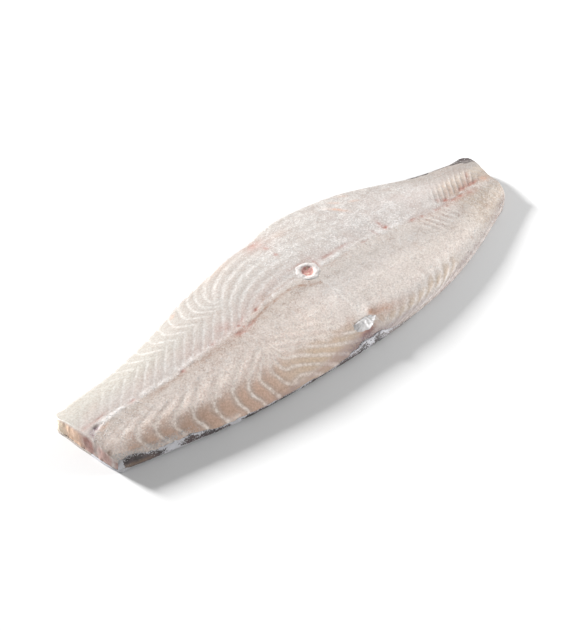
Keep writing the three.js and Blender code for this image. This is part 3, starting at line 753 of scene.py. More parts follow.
def frost_marks(at):
    """How thick the frost lies, and the paler frost of the near half and of its corner, which is also
    painted light.
    """
    frost = lerp(track(FROST_ON_BACK, at.x), track(FROST_ON_BELLY, at.x), at.near)
    frost = frost * (1 - 0.8 * at.amber) + 0.5 * smooth(at.edge, 9, 5) * smooth(-at.x, 120, 160)
    # Pale frost that is also painted light, on the near slopes and at the thick end's near corner, which
    # turn away from the key light.
    rime_and_painted_light = at.near * bell(at.from_line - 0.58, 0.28) * (1 - at.amber) * (1 - 0.6 * smooth(at.x, 100, 150))
    corner_rime_and_painted_light = 0.9 * at.near * smooth(-at.x, 176, 190) * smooth(at.from_line, 0.15, 0.4)
    return {
        "frost": frost * (1 - 0.85 * at.cut),
        "rime_and_painted_light": rime_and_painted_light * (1 - at.cut),
        "corner_rime_and_painted_light": corner_rime_and_painted_light * (1 - at.cut),
        "cut_frost": 0.7 * at.cut * smooth(-at.y, 8, 18) * smooth(at.depth, 0.7, 0.9),
    }


def tone_marks(at):
    """Broad light and dark: the near slope, the back's wall, a band and a strip on each half, the rims."""
    x, from_line, to_rim, near, cut = at.x, at.from_line, at.to_rim, at.near, at.cut
    # The near slope gets painted light, since the low key light from behind hardly reaches it; so does the
    # far part of the cut face.
    slope_end = (0.4 + 0.9 * smooth(x, -30, 15)) * smooth(from_line, 0.7, 0.88)
    painted_light_on_near_slope = near * smooth(from_line, 0.3, 0.52) * (1 - cut) * (1 - slope_end)
    far_corner = smooth(at.y, 24, 28) * smooth(x, -206.5, -204.5)
    # Painted light: a lighter band on each half.
    near_band = track(NEAR_PAINTED_LIGHT, x) * bell(from_line - 0.7, 0.23)
    near_band = near_band + 0.6 * smooth(-x, 180, 195) * smooth(from_line, 0.7, 0.8)
    far_band = track(FAR_PAINTED_LIGHT, x) * bell(to_rim - lerp(0.22, 0.5, smooth(x, 20, 90)), 0.2)
    # Painted shade of the far half, heavier towards its rim.
    far_shade = (
        track(FAR_SHADE, x)
        + 0.35 * smooth(to_rim, 0.35, 0.65) * smooth(x, -60, -10)
        + 0.7 * smooth(to_rim, 0.75, 0.98) * smooth(x, -190, -60)
    )
    # Painted shade: a strip below the middle line, one along the back's rim, the far side of the tail, each
    # half's shading and the near wall.
    darker = (
        near * (track(NEAR_PAINTED_SHADE, x) + 0.25) * bell(from_line - 0.09, 0.15)
        + (1 - near) * (track(FAR_PAINTED_SHADE, x) + 0.2) * bell(to_rim - 0.87, 0.17)
        + 0.55 * smooth(x, 135, 147) * (1 - near) * (1 - smooth(to_rim, 0.2, 0.35))
        + lerp(far_shade, track(NEAR_SHADE, x), near)
        + 0.8 * smooth(at.depth, 0, 0.2) * smooth(x, -60, 0) * near
    )
    return {
        "near": near,
        # Painted light on the near slope and on the far part of the cut face.
        "painted_light_on_near_slope": painted_light_on_near_slope + cut * smooth(at.y, 0, 15),
        # Painted shade on the back's wall, which the low key light from behind strikes head on.
        "painted_shade_on_back_wall": (1 - near) * smooth(at.depth, 0.08, 0.35) * (1 - cut * (1 - far_corner)),
        # Painted shade on the high back rim.
        "rim_shade": smooth(to_rim, 0.25, 0.85) * track(RIM_SHADE, x),
        # The belly edge's own mauve, also painted shade against the fill light on that edge.
        "edge_shade": (1 - smooth(at.edge, 2, 7)) * smooth(x, -60, 0),
        # Painted light of those bands.
        "lighter": np.where(near > 0.5, near_band, far_band) * (1 - cut) * (1 - 0.35 * at.amber),
        # Painted shade.
        "darker": np.clip(darker, 0, 1.3),
    }


def muscle_marks(at):
    """Colours of the muscle itself, on the top and on the cut face."""
    x, y, up, near, cut = at.x, at.y, at.up, at.near, at.cut
    tan = smooth(x, *BROWN_TO_TAN)
    thick_end = 0.55 * near * smooth(-x, 125, 160) * (1 - 0.9 * smooth(-x, 180, 191))
    tail = 0.5 * near * smooth(-up, 3, 9) + 0.45 * (1 - near) * (1 - smooth(up, 14, 20))
    return {
        "warm": near * (1.25 - smooth(x, -40, 20))
        + 1.1 * near * smooth(-x, 140, 165) * smooth(at.from_line, 0.4, 0.6),
        "brown_muscle": np.maximum(at.amber * (1 - tan), thick_end * smooth(at.from_line, 0.35, 0.6)),
        "tan_muscle": np.maximum(at.amber * tan, smooth(x, 143, 160) * tail),
        "cream": smooth(up, 6, 24) * lerp(1, 0.35, smooth(x, -150, -60)) * (x < 60) * (1 - cut),
        "cut": cut,
        "cut_tan": cut * smooth(y, -6, 6),
        "cut_cream": cut * smooth(y, 12, 25),
    }


def stain_marks(at, points):
    """Stains in the flesh, with a pink blush about the blood. Blood also runs down the cut face."""
    x, y, up, top = at.x, at.y, at.up, 1 - at.cut
    down_cut = at.cut * (1.3 - 0.9 * smooth(at.depth, 0.3, 0.6)) * bell(y + 5 + 7 * at.depth, 5)
    blush = [(place, (2.2 * a, 2.2 * b), turn, strength) for place, (a, b), turn, strength in BLOOD_SPOTS]
    pink = (
        0.5 * spots(x, y, blush)
        + 0.4 * bell(up, 13) * smooth(x, -130, -95) * (1 - smooth(x, -40, 10))
        + 0.5 * at.near * smooth(x, 100, 115) * (1 - smooth(x, 145, 160)) * (1 - smooth(-up, 12, 22))
    )
    umber = spots(x, y, UMBER_SPOTS) + strokes(x, y, UMBER_LINES)
    return {
        "blood": spots(x, y, BLOOD_SPOTS) * top + down_cut * (0.9 + 0.4 * grain(points, 1.6, 20)),
        "pink": np.clip(pink, 0, 1) * top,
        "rust": spots(x, y, RUST_SPOTS) * top,
        "purple": spots(x, y, PURPLE_SPOTS) * top,
        "umber": umber * top * (0.85 + 0.6 * grain(points, 2.4, 19)),
    }


def flesh_relief(points, depth):
    """How far the flesh stands out from its smooth surface, and the marks that its finish reads."""
    at = flesh_places(points, depth)
    x, y = at.x, at.y
    segments, marks = segment_relief(x, y)
    knobs = grain(points, 2.8, 3)
    beads_line = at.up + 0.4 - 0.8 * ragged((x - BACK_SPAN[0]) / LENGTH, 9, 61)
    beads = track(BEADS_ALONG, x) * bell(beads_line, 2.6 + 0.8 * knobs)
    wisps = strokes(x, y, CHALK_LINES) * (1 + 0.5 * knobs)
    marks.update(sheet_width=track(SHEET_WIDTH, x), chalk=wisps + beads * (0.75 + 0.4 * knobs))
    for more in (frost_marks(at), tone_marks(at), muscle_marks(at), stain_marks(at, points)):
        marks.update(more)
    relief = (
        segments + lumps(x, y) - furrows(x, y)
        + beads * (0.16 + 0.14 * knobs) + 0.05 * grain(points, 4.5, 7) * (0.4 + at.near)
        + 0.1 * np.clip(wisps, 0, 1) - 0.2 * np.clip(marks["blood"], 0, 1) * (1 - at.cut)
    )
    return relief, marks


def flesh_piece():
    """The flesh with its relief, its socket for the ring and the rough fibres of its cut face."""
    points, faces, depth = flesh_surface()
    normals = surface_normals(points, np.array(faces[:-1]))
    relief, marks = flesh_relief(points, depth)
    hold = 1 - smooth(depth, 0, 0.3)
    seat = spot(points[:, 0], points[:, 1], (RING["x"], RING["y"]), (7.5, 7.5)) ** 0.5
    relief = relief * (1 - np.clip(1.6 * seat, 0, 1)) - RING["depth"] * smooth(seat, 0.62, 0.75)
    fibres = 0.3 * marks["cut"] * (1 + grain(points, 1.8, 9))
    points = points + normals * (relief * hold - fibres - 0.05)[:, None]
    return make_mesh("flesh_surface", points, faces, marks)


# Climb of the skin's edge round the fillet: (share of the way along, climb).
SKIN_ON_BELLY = [
    (0, 1.2), (0.03, 1.16), (0.06, 0.96), (0.1, 0.9), (0.15, 0.88), (0.2, 0.76), (0.3, 0.64), (0.4, 0.62),
    (0.46, 0.74), (0.5, 0.86), (0.55, 0.9), (0.6, 0.8), (0.65, 0.52), (0.72, 0.38), (1, 0.36),
]
SKIN_ON_BACK = [
    (0, 0.04), (0.04, 0.25), (0.6, 0.35), (0.8, 0.42), (0.86, 0.62), (0.872, 1.02), (0.893, 1.0),
    (0.92, 0.88), (0.955, 0.96), (0.972, 1.15), (0.985, 1.4), (1, 1.68),
]
SKIN_ON_TAIL = [(0, 0.36), (0.6, 0.45), (0.74, 0.6), (0.84, 1.0), (0.92, 1.36), (1, 1.68)]


def skin_climb(place, side):
    """How far up the side, and over it, the torn edge of the skin reaches."""
    u, v, _ = place
    if side == "thick":
        return lerp(SKIN_ON_BELLY[0][1], SKIN_ON_BACK[0][1], smooth(v, 0.015, 0.05))
    if side == "tail":
        return track(SKIN_ON_TAIL, v)
    torn = 0.07 * ragged(u, 14, 41) + 0.05 * ragged(u, 5, 42) + 0.03 * ragged(u, 1.8, 43)
    wall = track(SKIN_ON_BELLY if side == "belly" else SKIN_ON_BACK, u)
    return wall + torn * smooth(np.minimum(u, 1 - u), 0.01, 0.05)


def skin_marks(points, share, uneven):
    """What the skin's finish reads. The share runs from 0 under the fillet to 1 at the skin's edge."""
    x, y, z = points.T
    on_belly = y < middle(x)
    thick_end = smooth(-x, 197.5, 200)
    tail_corner = smooth(x, 176, 188) * (y > 0)
    low_rim = (1 - smooth(z, 3.2, 4.6)) * smooth(-x, 110, 150) * on_belly
    layers = smooth(z, 4, 5) * (1 - smooth(z, 6.6, 8))
    patches = [((along, 0), (half, 1), 0, strength) for along, half, strength in SKIN_FROST]
    frosted = spots(x, 0 * x, patches) * on_belly * (0.75 + 0.5 * uneven) + low_rim
    frosted = frosted + on_belly * (0.45 * smooth(share, 0.82, 1) * (1 - thick_end) + smooth(-x, 194, 197))
    pale = smooth(x, 12, 34) * on_belly + 0.75 * tail_corner * smooth(share, 0.72, 0.95)
    return {
        "frosted": np.clip(frosted + 0.5 * thick_end * smooth(-y, 4, 14), 0, 1.2),
        "pale": np.clip(pale, 0, 1),
        "brown": on_belly * smooth(-x, 170, 184) * layers * (1 - thick_end),
        "cream": thick_end,
    }


def skin_piece():
    """Thin tray of skin: up its dented outside to the ragged edge, and down its inside again."""
    runs = border_runs(ALONG[::2], ACROSS[::2])
    count = sum(len(u) for u, _, _ in runs.values())
    climbs = {side: skin_climb(place, side) for side, place in runs.items()}
    steps = np.linspace(0, 1, SKIN_STEPS)
    loops = []
    for step in steps:
        up_wall = {side: climbs[side] * step for side in SIDES}
        to_edge = lerp(WRAP, SKIN_EDGE, smooth(step, 0.7, 1))
        thick = {
            side: np.maximum(to_edge - 0.5 * smooth(up_wall[side], 0.12, 0.4), SKIN_THINNEST)
            for side in SIDES
        }
        loops.append(side_loop(runs, up_wall, thick))
    for step in steps[::-1]:
        loops.append(side_loop(runs, {side: climbs[side] * step for side in SIDES}, SKIN_GAP))
    points, share = np.concatenate(loops), np.repeat([*steps, *steps[::-1]], count)
    dents = 0.12 * (grain(points, 2.2, 31) + 1) + 0.1 * (grain(points, 0.9, 32) + 1)
    dents[SKIN_STEPS * count :] = 0
    dented = points.copy()
    dented[:, 1] += np.where(points[:, 1] > 0, -1, 1) * dents * smooth(points[:, 2], 0.6, 2.5)
    marks = skin_marks(points, share, grain(dented, 2.2, 33))
    last = 2 * SKIN_STEPS - 1
    faces = np.concatenate([band(k * count, (k + 1) * count, count) for k in range(last)])
    under = list(range(count))[::-1]
    floor = list(range(last * count, (last + 1) * count))
    return make_mesh("skin_sheet", dented, [*faces, under, floor], marks)


def ring_piece():
    """Lumpy round collar in the flesh, with a hollow that has a rough floor."""
    around, loops = RING_FINENESS
    radius, hole = RING["radius"], RING["hole"]
    profile = [
        (radius + 0.5, -2.6), (radius + 0.4, -0.6), (radius, 0.3), (radius - 1.2, 0.6), (hole + 1.2, 0.6),
        (hole + 0.1, 0.25), (hole - 0.6, -0.2), (hole - 1.4, -0.5), (hole * 0.35, -0.7), (0, -0.65),
    ]
    share = np.linspace(0, 1, len(profile))
    t = np.linspace(0, 1, loops + 1)[:-1]
    out, rise = (track(np.column_stack([share, values]), t) for values in zip(*profile))
    turn = np.linspace(0, 2 * math.pi, around, endpoint=False)
    out, turn = np.meshgrid(out, turn, indexing="ij")
    wobble = 1 + 0.035 * np.sin(3 * turn + 1) + 0.02 * np.sin(7 * turn)
    x, y = RING["x"] + out * wobble * np.cos(turn), RING["y"] + out * wobble * np.sin(turn)
    base = track(CROWN_HEIGHT, RING["x"]) - 0.35
    points = np.stack([x, y, base + np.broadcast_to(rise[:, None], x.shape)], axis=-1).reshape(-1, 3)
    points = np.concatenate([points, [[RING["x"], RING["y"], base + profile[-1][1]]]])
    off_middle = np.hypot(points[:, 0] - RING["x"], points[:, 1] - RING["y"])
    points[:, 2] += 0.2 * grain(points, 1.9, 11) + 0.1 * grain(points, 0.8, 12)
    inside = 1 - smooth(off_middle, hole - 1, hole + 0.6)
    return make_mesh("ring_of_bone", points, dome_faces(around, loops), {"inside": inside})


def clump_piece():
    """Lumpy mass of ice lying on the flesh, with a smaller lump on its tail side."""
    around, loops = CLUMP_FINENESS
    turn = np.linspace(0, 2 * math.pi, around, endpoint=False)
    share, turn = np.meshgrid(np.linspace(1, 0, loops + 1)[:-1], turn, indexing="ij")
    wavy = 1 + 0.07 * np.sin(3 * turn + 0.6) + 0.05 * np.sin(5 * turn + 2) + 0.04 * np.sin(11 * turn)
    x = CLUMP["x"] - 0.6 + share * wavy * CLUMP["length"] / 2 * np.cos(turn)
    y = CLUMP["y"] - 0.3 + share * wavy * CLUMP["width"] / 2 * np.sin(turn)
    x, y = np.append(x.ravel(), CLUMP["x"]), np.append(y.ravel(), CLUMP["y"])
    share = np.append(share.ravel(), 0)
    plan = np.column_stack([x, y, 0 * x])
    rough = 1 + 0.3 * grain(plan, 3.2, 21) + 0.12 * grain(plan, 1.5, 22) + 0.03 * grain(plan, 0.6, 23)
    gap = 1 - 0.35 * bell(x - CLUMP["gap"] + 0.25 * (y - CLUMP["y"]), 1.1)
    lower = 1 - 0.25 * smooth(x - CLUMP["gap"], -1, 2)
    height = CLUMP["height"] * (1 - share**2.2) ** 0.75 * rough * gap * lower
    points = np.column_stack([x, y, top_height(x, y) - 0.5 + height])
    under = list(range(around))[::-1]
    return make_mesh("clump_of_ice", points, [*dome_faces(around, loops), under])


def shift_under(node):
    """How far the plan moves, so that its middle comes to the middle of that node's box."""
    low, high = (np.array(corner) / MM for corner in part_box(node))
    points = flesh_surface()[0]
    shift = (low + high) / 2 - (points.min(0) + points.max(0)) / 2
    return shift * (1, 1, 0)


SHIFT = shift_under("flesh")


# ---- Finishes

# Colours of the finishes, as plain linear red, green and blue.
MUSCLE_PINK = (0.446, 0.381, 0.346)
MUSCLE_BEIGE = (0.446, 0.408, 0.377)
CREAM = (0.4, 0.385, 0.338)
# Painted shade laid on the high back rim.
RIM_PAINTED_SHADE = (0.331, 0.296, 0.265)
FAR_HAZE = (0.546, 0.538, 0.538)
NEAR_HAZE = (0.65, 0.585, 0.55)
# Pale frost colour, also laid on as painted light on the near half and its corner.
RIME_AND_PAINTED_LIGHT = (0.73, 0.65, 0.61)
BROWN_MUSCLE = (0.589, 0.436, 0.353)
TAN_MUSCLE = (0.658, 0.545, 0.431)
# The top dimmed against the near slope, which keeps more of its colour: painted light on the near slope.
TOP_PAINTED_SHADE = (0.855, 0.86, 0.87)
SLOPE_PAINTED_LIGHT = (0.97, 0.975, 0.98)
# Painted shade on the back's wall.
WALL_PAINTED_SHADE = (0.52, 0.48, 0.45)
# Painted light, for the lighter bands.
PAINTED_LIGHT = (1.3, 1.31, 1.33)
WARMER = (0.985, 0.94, 0.905)
# Painted shade, for the darker strips and the shaded parts of each half.
PAINTED_SHADE = (0.75, 0.74, 0.725)
# The belly edge's mauve, deepened as painted shade.
EDGE_MAUVE_AND_SHADE = (0.385, 0.323, 0.308)
PINK = (0.508, 0.362, 0.323)
CUT_PINK = (0.53, 0.35, 0.32)
CUT_TAN = (0.78, 0.55, 0.39)
CUT_CREAM = (0.97, 0.90, 0.74)
UMBER = (0.323, 0.208, 0.154)
RUST = (0.538, 0.323, 0.231)
BLOOD = (0.323, 0.131, 0.1)
PURPLE = (0.211, 0.144, 0.161)
SHEET_WHITE = (0.93, 0.885, 0.845)
FAR_SHEET_WHITE = (0.631, 0.615, 0.592)
FROST_WHITE = (0.762, 0.738, 0.715)
CHALK = (0.746, 0.731, 0.715)
SKIN_BLACK = (0.02, 0.016, 0.015)
SKIN_BROWN = (0.082, 0.051, 0.048)
SKIN_TAN = (0.204, 0.136, 0.095)
SKIN_PALE = (0.286, 0.252, 0.238)
SKIN_CREAM = (0.53, 0.462, 0.408)
SKIN_GREY = (0.17, 0.163, 0.17)
SKIN_FROST_WHITE = (0.58, 0.58, 0.61)
BONE_SHADE = (0.462, 0.428, 0.411)
BONE_WHITE = (0.544, 0.52, 0.507)
MARROW_RED = (0.384, 0.172, 0.155)
MARROW_PINK = (0.473, 0.294, 0.262)
MARROW_YELLOW = (0.49, 0.381, 0.299)
ICE_SHADE = (0.541, 0.526, 0.523)
ICE_WHITE = (0.592, 0.575, 0.571)
FLOOR_SHADE = (0.637, 0.637, 0.637)
FLOOR_WHITE = (0.644, 0.644, 0.644)
MOTTLE_DARK = (0.85, 0.82, 0.80)
MOTTLE_LIGHT = (1.11, 1.11, 1.11)

# How deep light goes into flesh, bone and ice, in metres.
LIGHT_DEPTH = 0.002


def feed(tree, socket, value):
    if isinstance(value, bpy.types.NodeSocket):
        tree.links.new(value, socket)
    elif getattr(socket, "type", "") == "RGBA":
        socket.default_value = (*value, 1)
    else:
        socket.default_value = value


def add(tree, kind, inputs=None, **settings):
    """A node with its settings and inputs, each of them a number, a colour or another node's output."""
    node = tree.nodes.new("ShaderNode" + kind)
    for key, value in settings.items():
        setattr(node, key, value)
    for key, value in (inputs or {}).items():
        feed(tree, node.inputs[key], value)
    return node


def math_of(tree, operation, a, b=0.0):
    return add(tree, "Math", {0: a, 1: b}, operation=operation).outputs[0]


def times(tree, a, b):
    return math_of(tree, "MULTIPLY", a, b)


def step_of(tree, value, low, high, out_low=0.0, out_high=1.0):
    """A soft step of a value that goes from low to high."""
    inputs = {"Value": value, "From Min": low, "From Max": high, "To Min": out_low, "To Max": out_high}
    return add(tree, "MapRange", inputs, interpolation_type="SMOOTHSTEP").outputs[0]


def blend_of(tree, share, a, b, kind="MIX"):
    """Colour a going over to colour b."""
    node = add(tree, "Mix", {0: share, 6: a, 7: b}, data_type="RGBA", blend_type=kind)
    return node.outputs[2]


def over(tree, colour, share, most, with_colour):
    """A colour with another laid over it, by a share of at most that much."""
    return blend_of(tree, times(tree, share, most), colour, with_colour)


def tinted(tree, colour, share, tint):
    """A colour going over to itself multiplied by a tint."""
    return blend_of(tree, share, colour, blend_of(tree, 1.0, colour, tint, "MULTIPLY"))


def noise_of(tree, scale, detail=2.0, rough=0.5):
    place = add(tree, "TexCoord").outputs["Object"]
    inputs = {"Vector": place, "Scale": scale, "Detail": detail, "Roughness": rough}
    return add(tree, "TexNoise", inputs).outputs["Fac"]


def new_group(name, inputs, outputs):
    """An empty shared group with its named inputs (with their usual values) and outputs."""
    tree = bpy.data.node_groups.new(name, "ShaderNodeTree")
    for key, usual in inputs.items():
        tree.interface.new_socket(key, in_out="INPUT", socket_type="NodeSocketFloat").default_value = usual
    for key in outputs:
        tree.interface.new_socket(key, in_out="OUTPUT", socket_type="NodeSocketFloat")
    return tree, tree.nodes.new("NodeGroupInput").outputs, tree.nodes.new("NodeGroupOutput").inputs


def frost_dust_group():
    """Fine grains of frost: how much of the surface they cover, and how high they stand."""
    tree, given, out = new_group("frost_dust", {"Cover": 0.5, "Grains per metre": 900}, ["Dust", "Height"])
    coarse = noise_of(tree, given["Grains per metre"], 3, 0.7)
    fine = noise_of(tree, times(tree, given["Grains per metre"], 2.3), 2, 0.6)
    both = math_of(tree, "ADD", times(tree, coarse, 0.7), times(tree, fine, 0.3))
    bare = math_of(tree, "SUBTRACT", 0.68, times(tree, given["Cover"], 0.36))
    feed(tree, out["Dust"], step_of(tree, both, bare, math_of(tree, "ADD", bare, 0.11)))
    feed(tree, out["Height"], both)
    return tree


def uneven_tone_group():
    """Soft patches of lighter and darker tone, from 0 to 1."""
    tree, given, out = new_group("uneven_tone", {"Patches per metre": 60}, ["Tone"])
    patches = noise_of(tree, given["Patches per metre"], 4, 0.6)
    feed(tree, out["Tone"], step_of(tree, patches, 0.3, 0.7))
    return tree


def muscle_sheets_group():
    """White sheets between the muscle segments, from a count that passes whole numbers at them."""
    inputs = {"Count": 0.0, "Pitch": 8.0, "Width": 0.6, "Shown": 1.0}
    tree, given, out = new_group("muscle_sheets", inputs, ["Line", "Between"])
    wander = times(tree, math_of(tree, "SUBTRACT", noise_of(tree, 110, 2), 0.5), 0.35)
    count = math_of(tree, "FRACT", math_of(tree, "ADD", given["Count"], wander))
    from_middle = math_of(tree, "ABSOLUTE", math_of(tree, "SUBTRACT", count, 0.5))
    share = math_of(tree, "SUBTRACT", 0.5, from_middle)
    off = times(tree, share, given["Pitch"])
    broken = step_of(tree, noise_of(tree, 380, 3, 0.6), 0.35, 0.58, 0.3, 1)
    near = step_of(tree, off, given["Width"], times(tree, given["Width"], 0.15))
    feed(tree, out["Line"], times(tree, near, times(tree, given["Shown"], broken)))
    feed(tree, out["Between"], step_of(tree, share, 0.08, 0.4))
    return tree


FROST_DUST = frost_dust_group()
UNEVEN_TONE = uneven_tone_group()
MUSCLE_SHEETS = muscle_sheets_group()


def new_finish(name):
    material = bpy.data.materials.new(name)
    material.use_nodes = True
    tree = material.node_tree
    return material, tree, tree.nodes["Principled BSDF"].inputs


def mark_of(tree, name):
    return add(tree, "Attribute", attribute_type="GEOMETRY", attribute_name=name).outputs["Fac"]


def placed(tree, group, **inputs):
    """One of the shared groups in a material, with the material's own values."""
    node = add(tree, "Group", node_tree=group)
    for key, value in inputs.items():
        feed(tree, node.inputs[key.replace("_", " ")], value)
    return node.outputs


def patches_of(tree, per_metre):
    return placed(tree, UNEVEN_TONE, Patches_per_metre=per_metre)["Tone"]


def let_light_in(shader, weight, radius):
    """Soft, translucent look: how much light goes in, and how far each colour of it gets."""
    shader["Subsurface Weight"].default_value = weight
    shader["Subsurface Radius"].default_value = radius
    shader["Subsurface Scale"].default_value = LIGHT_DEPTH


def roughen(tree, shader, strength, distance, height):
    bump = add(tree, "Bump", {"Strength": strength, "Distance": distance, "Height": height})
    feed(tree, shader["Normal"], bump.outputs[0])


def sheet_lines(tree):
    """The white lines of all the sheets, and how deep inside a segment of the belly side a place is."""
    line = 0.0
    for side, width in (("back", mark_of(tree, "sheet_width")), ("upper", 1.6), ("belly", 1.9)):
        count, pitch, shown = (mark_of(tree, side + end) for end in ("_count", "_pitch", "_sheets"))
        sheets = placed(tree, MUSCLE_SHEETS, Count=count, Pitch=pitch, Width=width, Shown=shown)
        line = math_of(tree, "MAXIMUM", line, sheets["Line"])
    return line, step_of(tree, sheets["Between"], 0, 1, 0.5, 1)


def flesh_finish():
    """Colours laid over each other: muscle, haze and pale frost, sheets, frost and chalk, stains, then
    tone; painted light and shade among them.
    """
    material, tree, shader = new_finish("frosted_flesh")

    def mark(name):
        return mark_of(tree, name)

    def with_marks(colour, layers):
        for name, most, tint in layers:
            colour = over(tree, colour, mark(name), most, tint)
        return colour

    tone, broad, fine, mottle = (patches_of(tree, per_metre) for per_metre in (45, 170, 420, 720))
    line, deep = sheet_lines(tree)

    colour = blend_of(tree, tone, MUSCLE_PINK, MUSCLE_BEIGE)
    # Cream of the far half, then painted shade on the high back rim.
    colour = with_marks(colour, (("cream", 0.8, CREAM), ("rim_shade", 0.9, RIM_PAINTED_SHADE)))
    cover = times(tree, mark("frost"), step_of(tree, tone, 0, 1, 0.85, 1.1))
    cover = times(tree, cover, step_of(tree, broad, 0, 1, 0.78, 1.2))
    colour = over(tree, colour, cover, 0.7, blend_of(tree, mark("near"), FAR_HAZE, NEAR_HAZE))
    # Pale frost, also painted light, on the near half and at its corner.
    colour = with_marks(colour, (("rime_and_painted_light", 0.85, RIME_AND_PAINTED_LIGHT), ("corner_rime_and_painted_light", 0.7, RIME_AND_PAINTED_LIGHT)))
    for name, tint in (("brown_muscle", BROWN_MUSCLE), ("tan_muscle", TAN_MUSCLE)):
        colour = over(tree, colour, mark(name), deep, tint)
    # The belly edge's mauve with painted shade, the pink blush, and the colours of the cut.
    colour = with_marks(colour, (
        ("edge_shade", 0.8, EDGE_MAUVE_AND_SHADE), ("pink", 0.5, PINK), ("cut", 0.9, CUT_PINK),
        ("cut_tan", 0.9, CUT_TAN), ("cut_cream", 0.9, CUT_CREAM),
    ))
    # Painted light of the lighter bands.
    colour = tinted(tree, colour, times(tree, mark("lighter"), 0.75), PAINTED_LIGHT)
    colour = over(tree, colour, line, 0.8, blend_of(tree, mark("near"), FAR_SHEET_WHITE, SHEET_WHITE))

    frost = placed(tree, FROST_DUST, Cover=cover, Grains_per_metre=760)
    # On the near slope the frost takes the brighter white, as painted light.
    frost_white = blend_of(tree, mark("painted_light_on_near_slope"), FROST_WHITE, SHEET_WHITE)
    colour = over(tree, colour, frost["Dust"], 0.58, frost_white)
    broken = times(tree, mark("chalk"), step_of(tree, fine, 0, 1, 0.55, 1.15))
    # On the near slope the chalk takes the brighter white, as painted light.
    chalk = blend_of(tree, mark("painted_light_on_near_slope"), CHALK, SHEET_WHITE)
    colour = over(tree, colour, math_of(tree, "MINIMUM", broken, 1.0), 0.8, chalk)
    colour = over(tree, colour, mark("cut_frost"), 0.85, CHALK)
    colour = tinted(tree, colour, mark("warm"), WARMER)
    # Painted shade of the darker strips and the shaded parts of each half.
    colour = tinted(tree, colour, mark("darker"), PAINTED_SHADE)

    speck = step_of(tree, fine, 0, 1, 0.6, 1.05)
    sprinkle = step_of(tree, mottle, 0, 1, 0.35, 1.5)
    for name, most, tint, speckled in (
        ("umber", 0.85, UMBER, speck), ("rust", 0.85, RUST, speck), ("blood", 0.85, BLOOD, speck),
        ("purple", 0.9, PURPLE, sprinkle),
    ):
        shown = math_of(tree, "MINIMUM", times(tree, mark(name), speckled), 1.0)
        colour = over(tree, colour, shown, most, tint)

    # Random mottle, then the top dimmed against the near slope: painted light on the near slope.
    for tint in (
        blend_of(tree, mottle, MOTTLE_DARK, MOTTLE_LIGHT),
        blend_of(tree, mark("painted_light_on_near_slope"), TOP_PAINTED_SHADE, SLOPE_PAINTED_LIGHT),
    ):
        colour = blend_of(tree, 1.0, colour, tint, "MULTIPLY")
    # Painted shade on the back's wall.
    feed(tree, shader["Base Color"], tinted(tree, colour, mark("painted_shade_on_back_wall"), WALL_PAINTED_SHADE))
    feed(tree, shader["Roughness"], step_of(tree, frost["Dust"], 0, 1, 0.42, 0.62))
    shader["Specular IOR Level"].default_value = 0.28
    let_light_in(shader, 0.2, (1, 0.75, 0.65))
    height = times(tree, frost["Height"], step_of(tree, mark("frost"), 0, 1, 0.35, 1))
    roughen(tree, shader, 0.4, 0.0005, height)
    return material


def skin_finish():
    material, tree, shader = new_finish("frosted_skin")
    colour = blend_of(tree, patches_of(tree, 90), SKIN_BLACK, SKIN_BROWN)
    layers = (("brown", 1.0, SKIN_TAN), ("pale", 0.8, SKIN_PALE), ("cream", 0.95, SKIN_CREAM))
    for name, most, tint in layers:
        colour = over(tree, colour, mark_of(tree, name), most, tint)
    colour = over(tree, colour, patches_of(tree, 700), 0.28, SKIN_GREY)
    cover = math_of(tree, "ADD", mark_of(tree, "frosted"), 0.18)
    frost = placed(tree, FROST_DUST, Cover=cover, Grains_per_metre=850)
    feed(tree, shader["Base Color"], blend_of(tree, frost["Dust"], colour, SKIN_FROST_WHITE))
    feed(tree, shader["Roughness"], step_of(tree, frost["Dust"], 0, 1, 0.38, 0.7))
    roughen(tree, shader, 0.8, 0.0008, frost["Height"])
    return material


def bone_finish():
    """Pale bone, with red, pink and yellow marrow in its hollow."""
    material, tree, shader = new_finish("bone_in_the_flesh")
    tone = patches_of(tree, 500)
    inside = mark_of(tree, "inside")
    marrow = blend_of(tree, tone, MARROW_RED, MARROW_PINK)
    marrow = blend_of(tree, step_of(tree, patches_of(tree, 260), 0.75, 1), marrow, MARROW_YELLOW)
    colour = blend_of(tree, inside, blend_of(tree, tone, BONE_SHADE, BONE_WHITE), marrow)
    frost = placed(tree, FROST_DUST, Cover=0.35, Grains_per_metre=900)
    shown = math_of(tree, "SUBTRACT", 0.25, times(tree, inside, 0.2))
    feed(tree, shader["Base Color"], over(tree, colour, frost["Dust"], shown, FROST_WHITE))
    feed(tree, shader["Roughness"], step_of(tree, tone, 0, 1, 0.4, 0.6))
    let_light_in(shader, 0.3, (1, 0.85, 0.8))
    roughen(tree, shader, 0.25, 0.0005, frost["Height"])
    return material


def ice_finish(name, glow):
    """White ice. The glow is how much light goes into it."""
    material, tree, shader = new_finish(name)
    colour = blend_of(tree, patches_of(tree, 300), ICE_SHADE, ICE_WHITE)
    frost = placed(tree, FROST_DUST, Cover=0.6, Grains_per_metre=1100)
    feed(tree, shader["Base Color"], blend_of(tree, frost["Dust"], colour, ICE_WHITE))
    feed(tree, shader["Roughness"], step_of(tree, frost["Dust"], 0, 1, 0.25, 0.6))
    let_light_in(shader, glow, (1, 0.95, 0.9))
    roughen(tree, shader, 0.25, 0.0004, frost["Height"])
    return material


def floor_finish():
    material, tree, shader = new_finish("white_floor")
    feed(tree, shader["Base Color"], blend_of(tree, patches_of(tree, 8), FLOOR_SHADE, FLOOR_WHITE))
    shader["Roughness"].default_value = 0.9
    return material


# ---- Scattered grains of ice

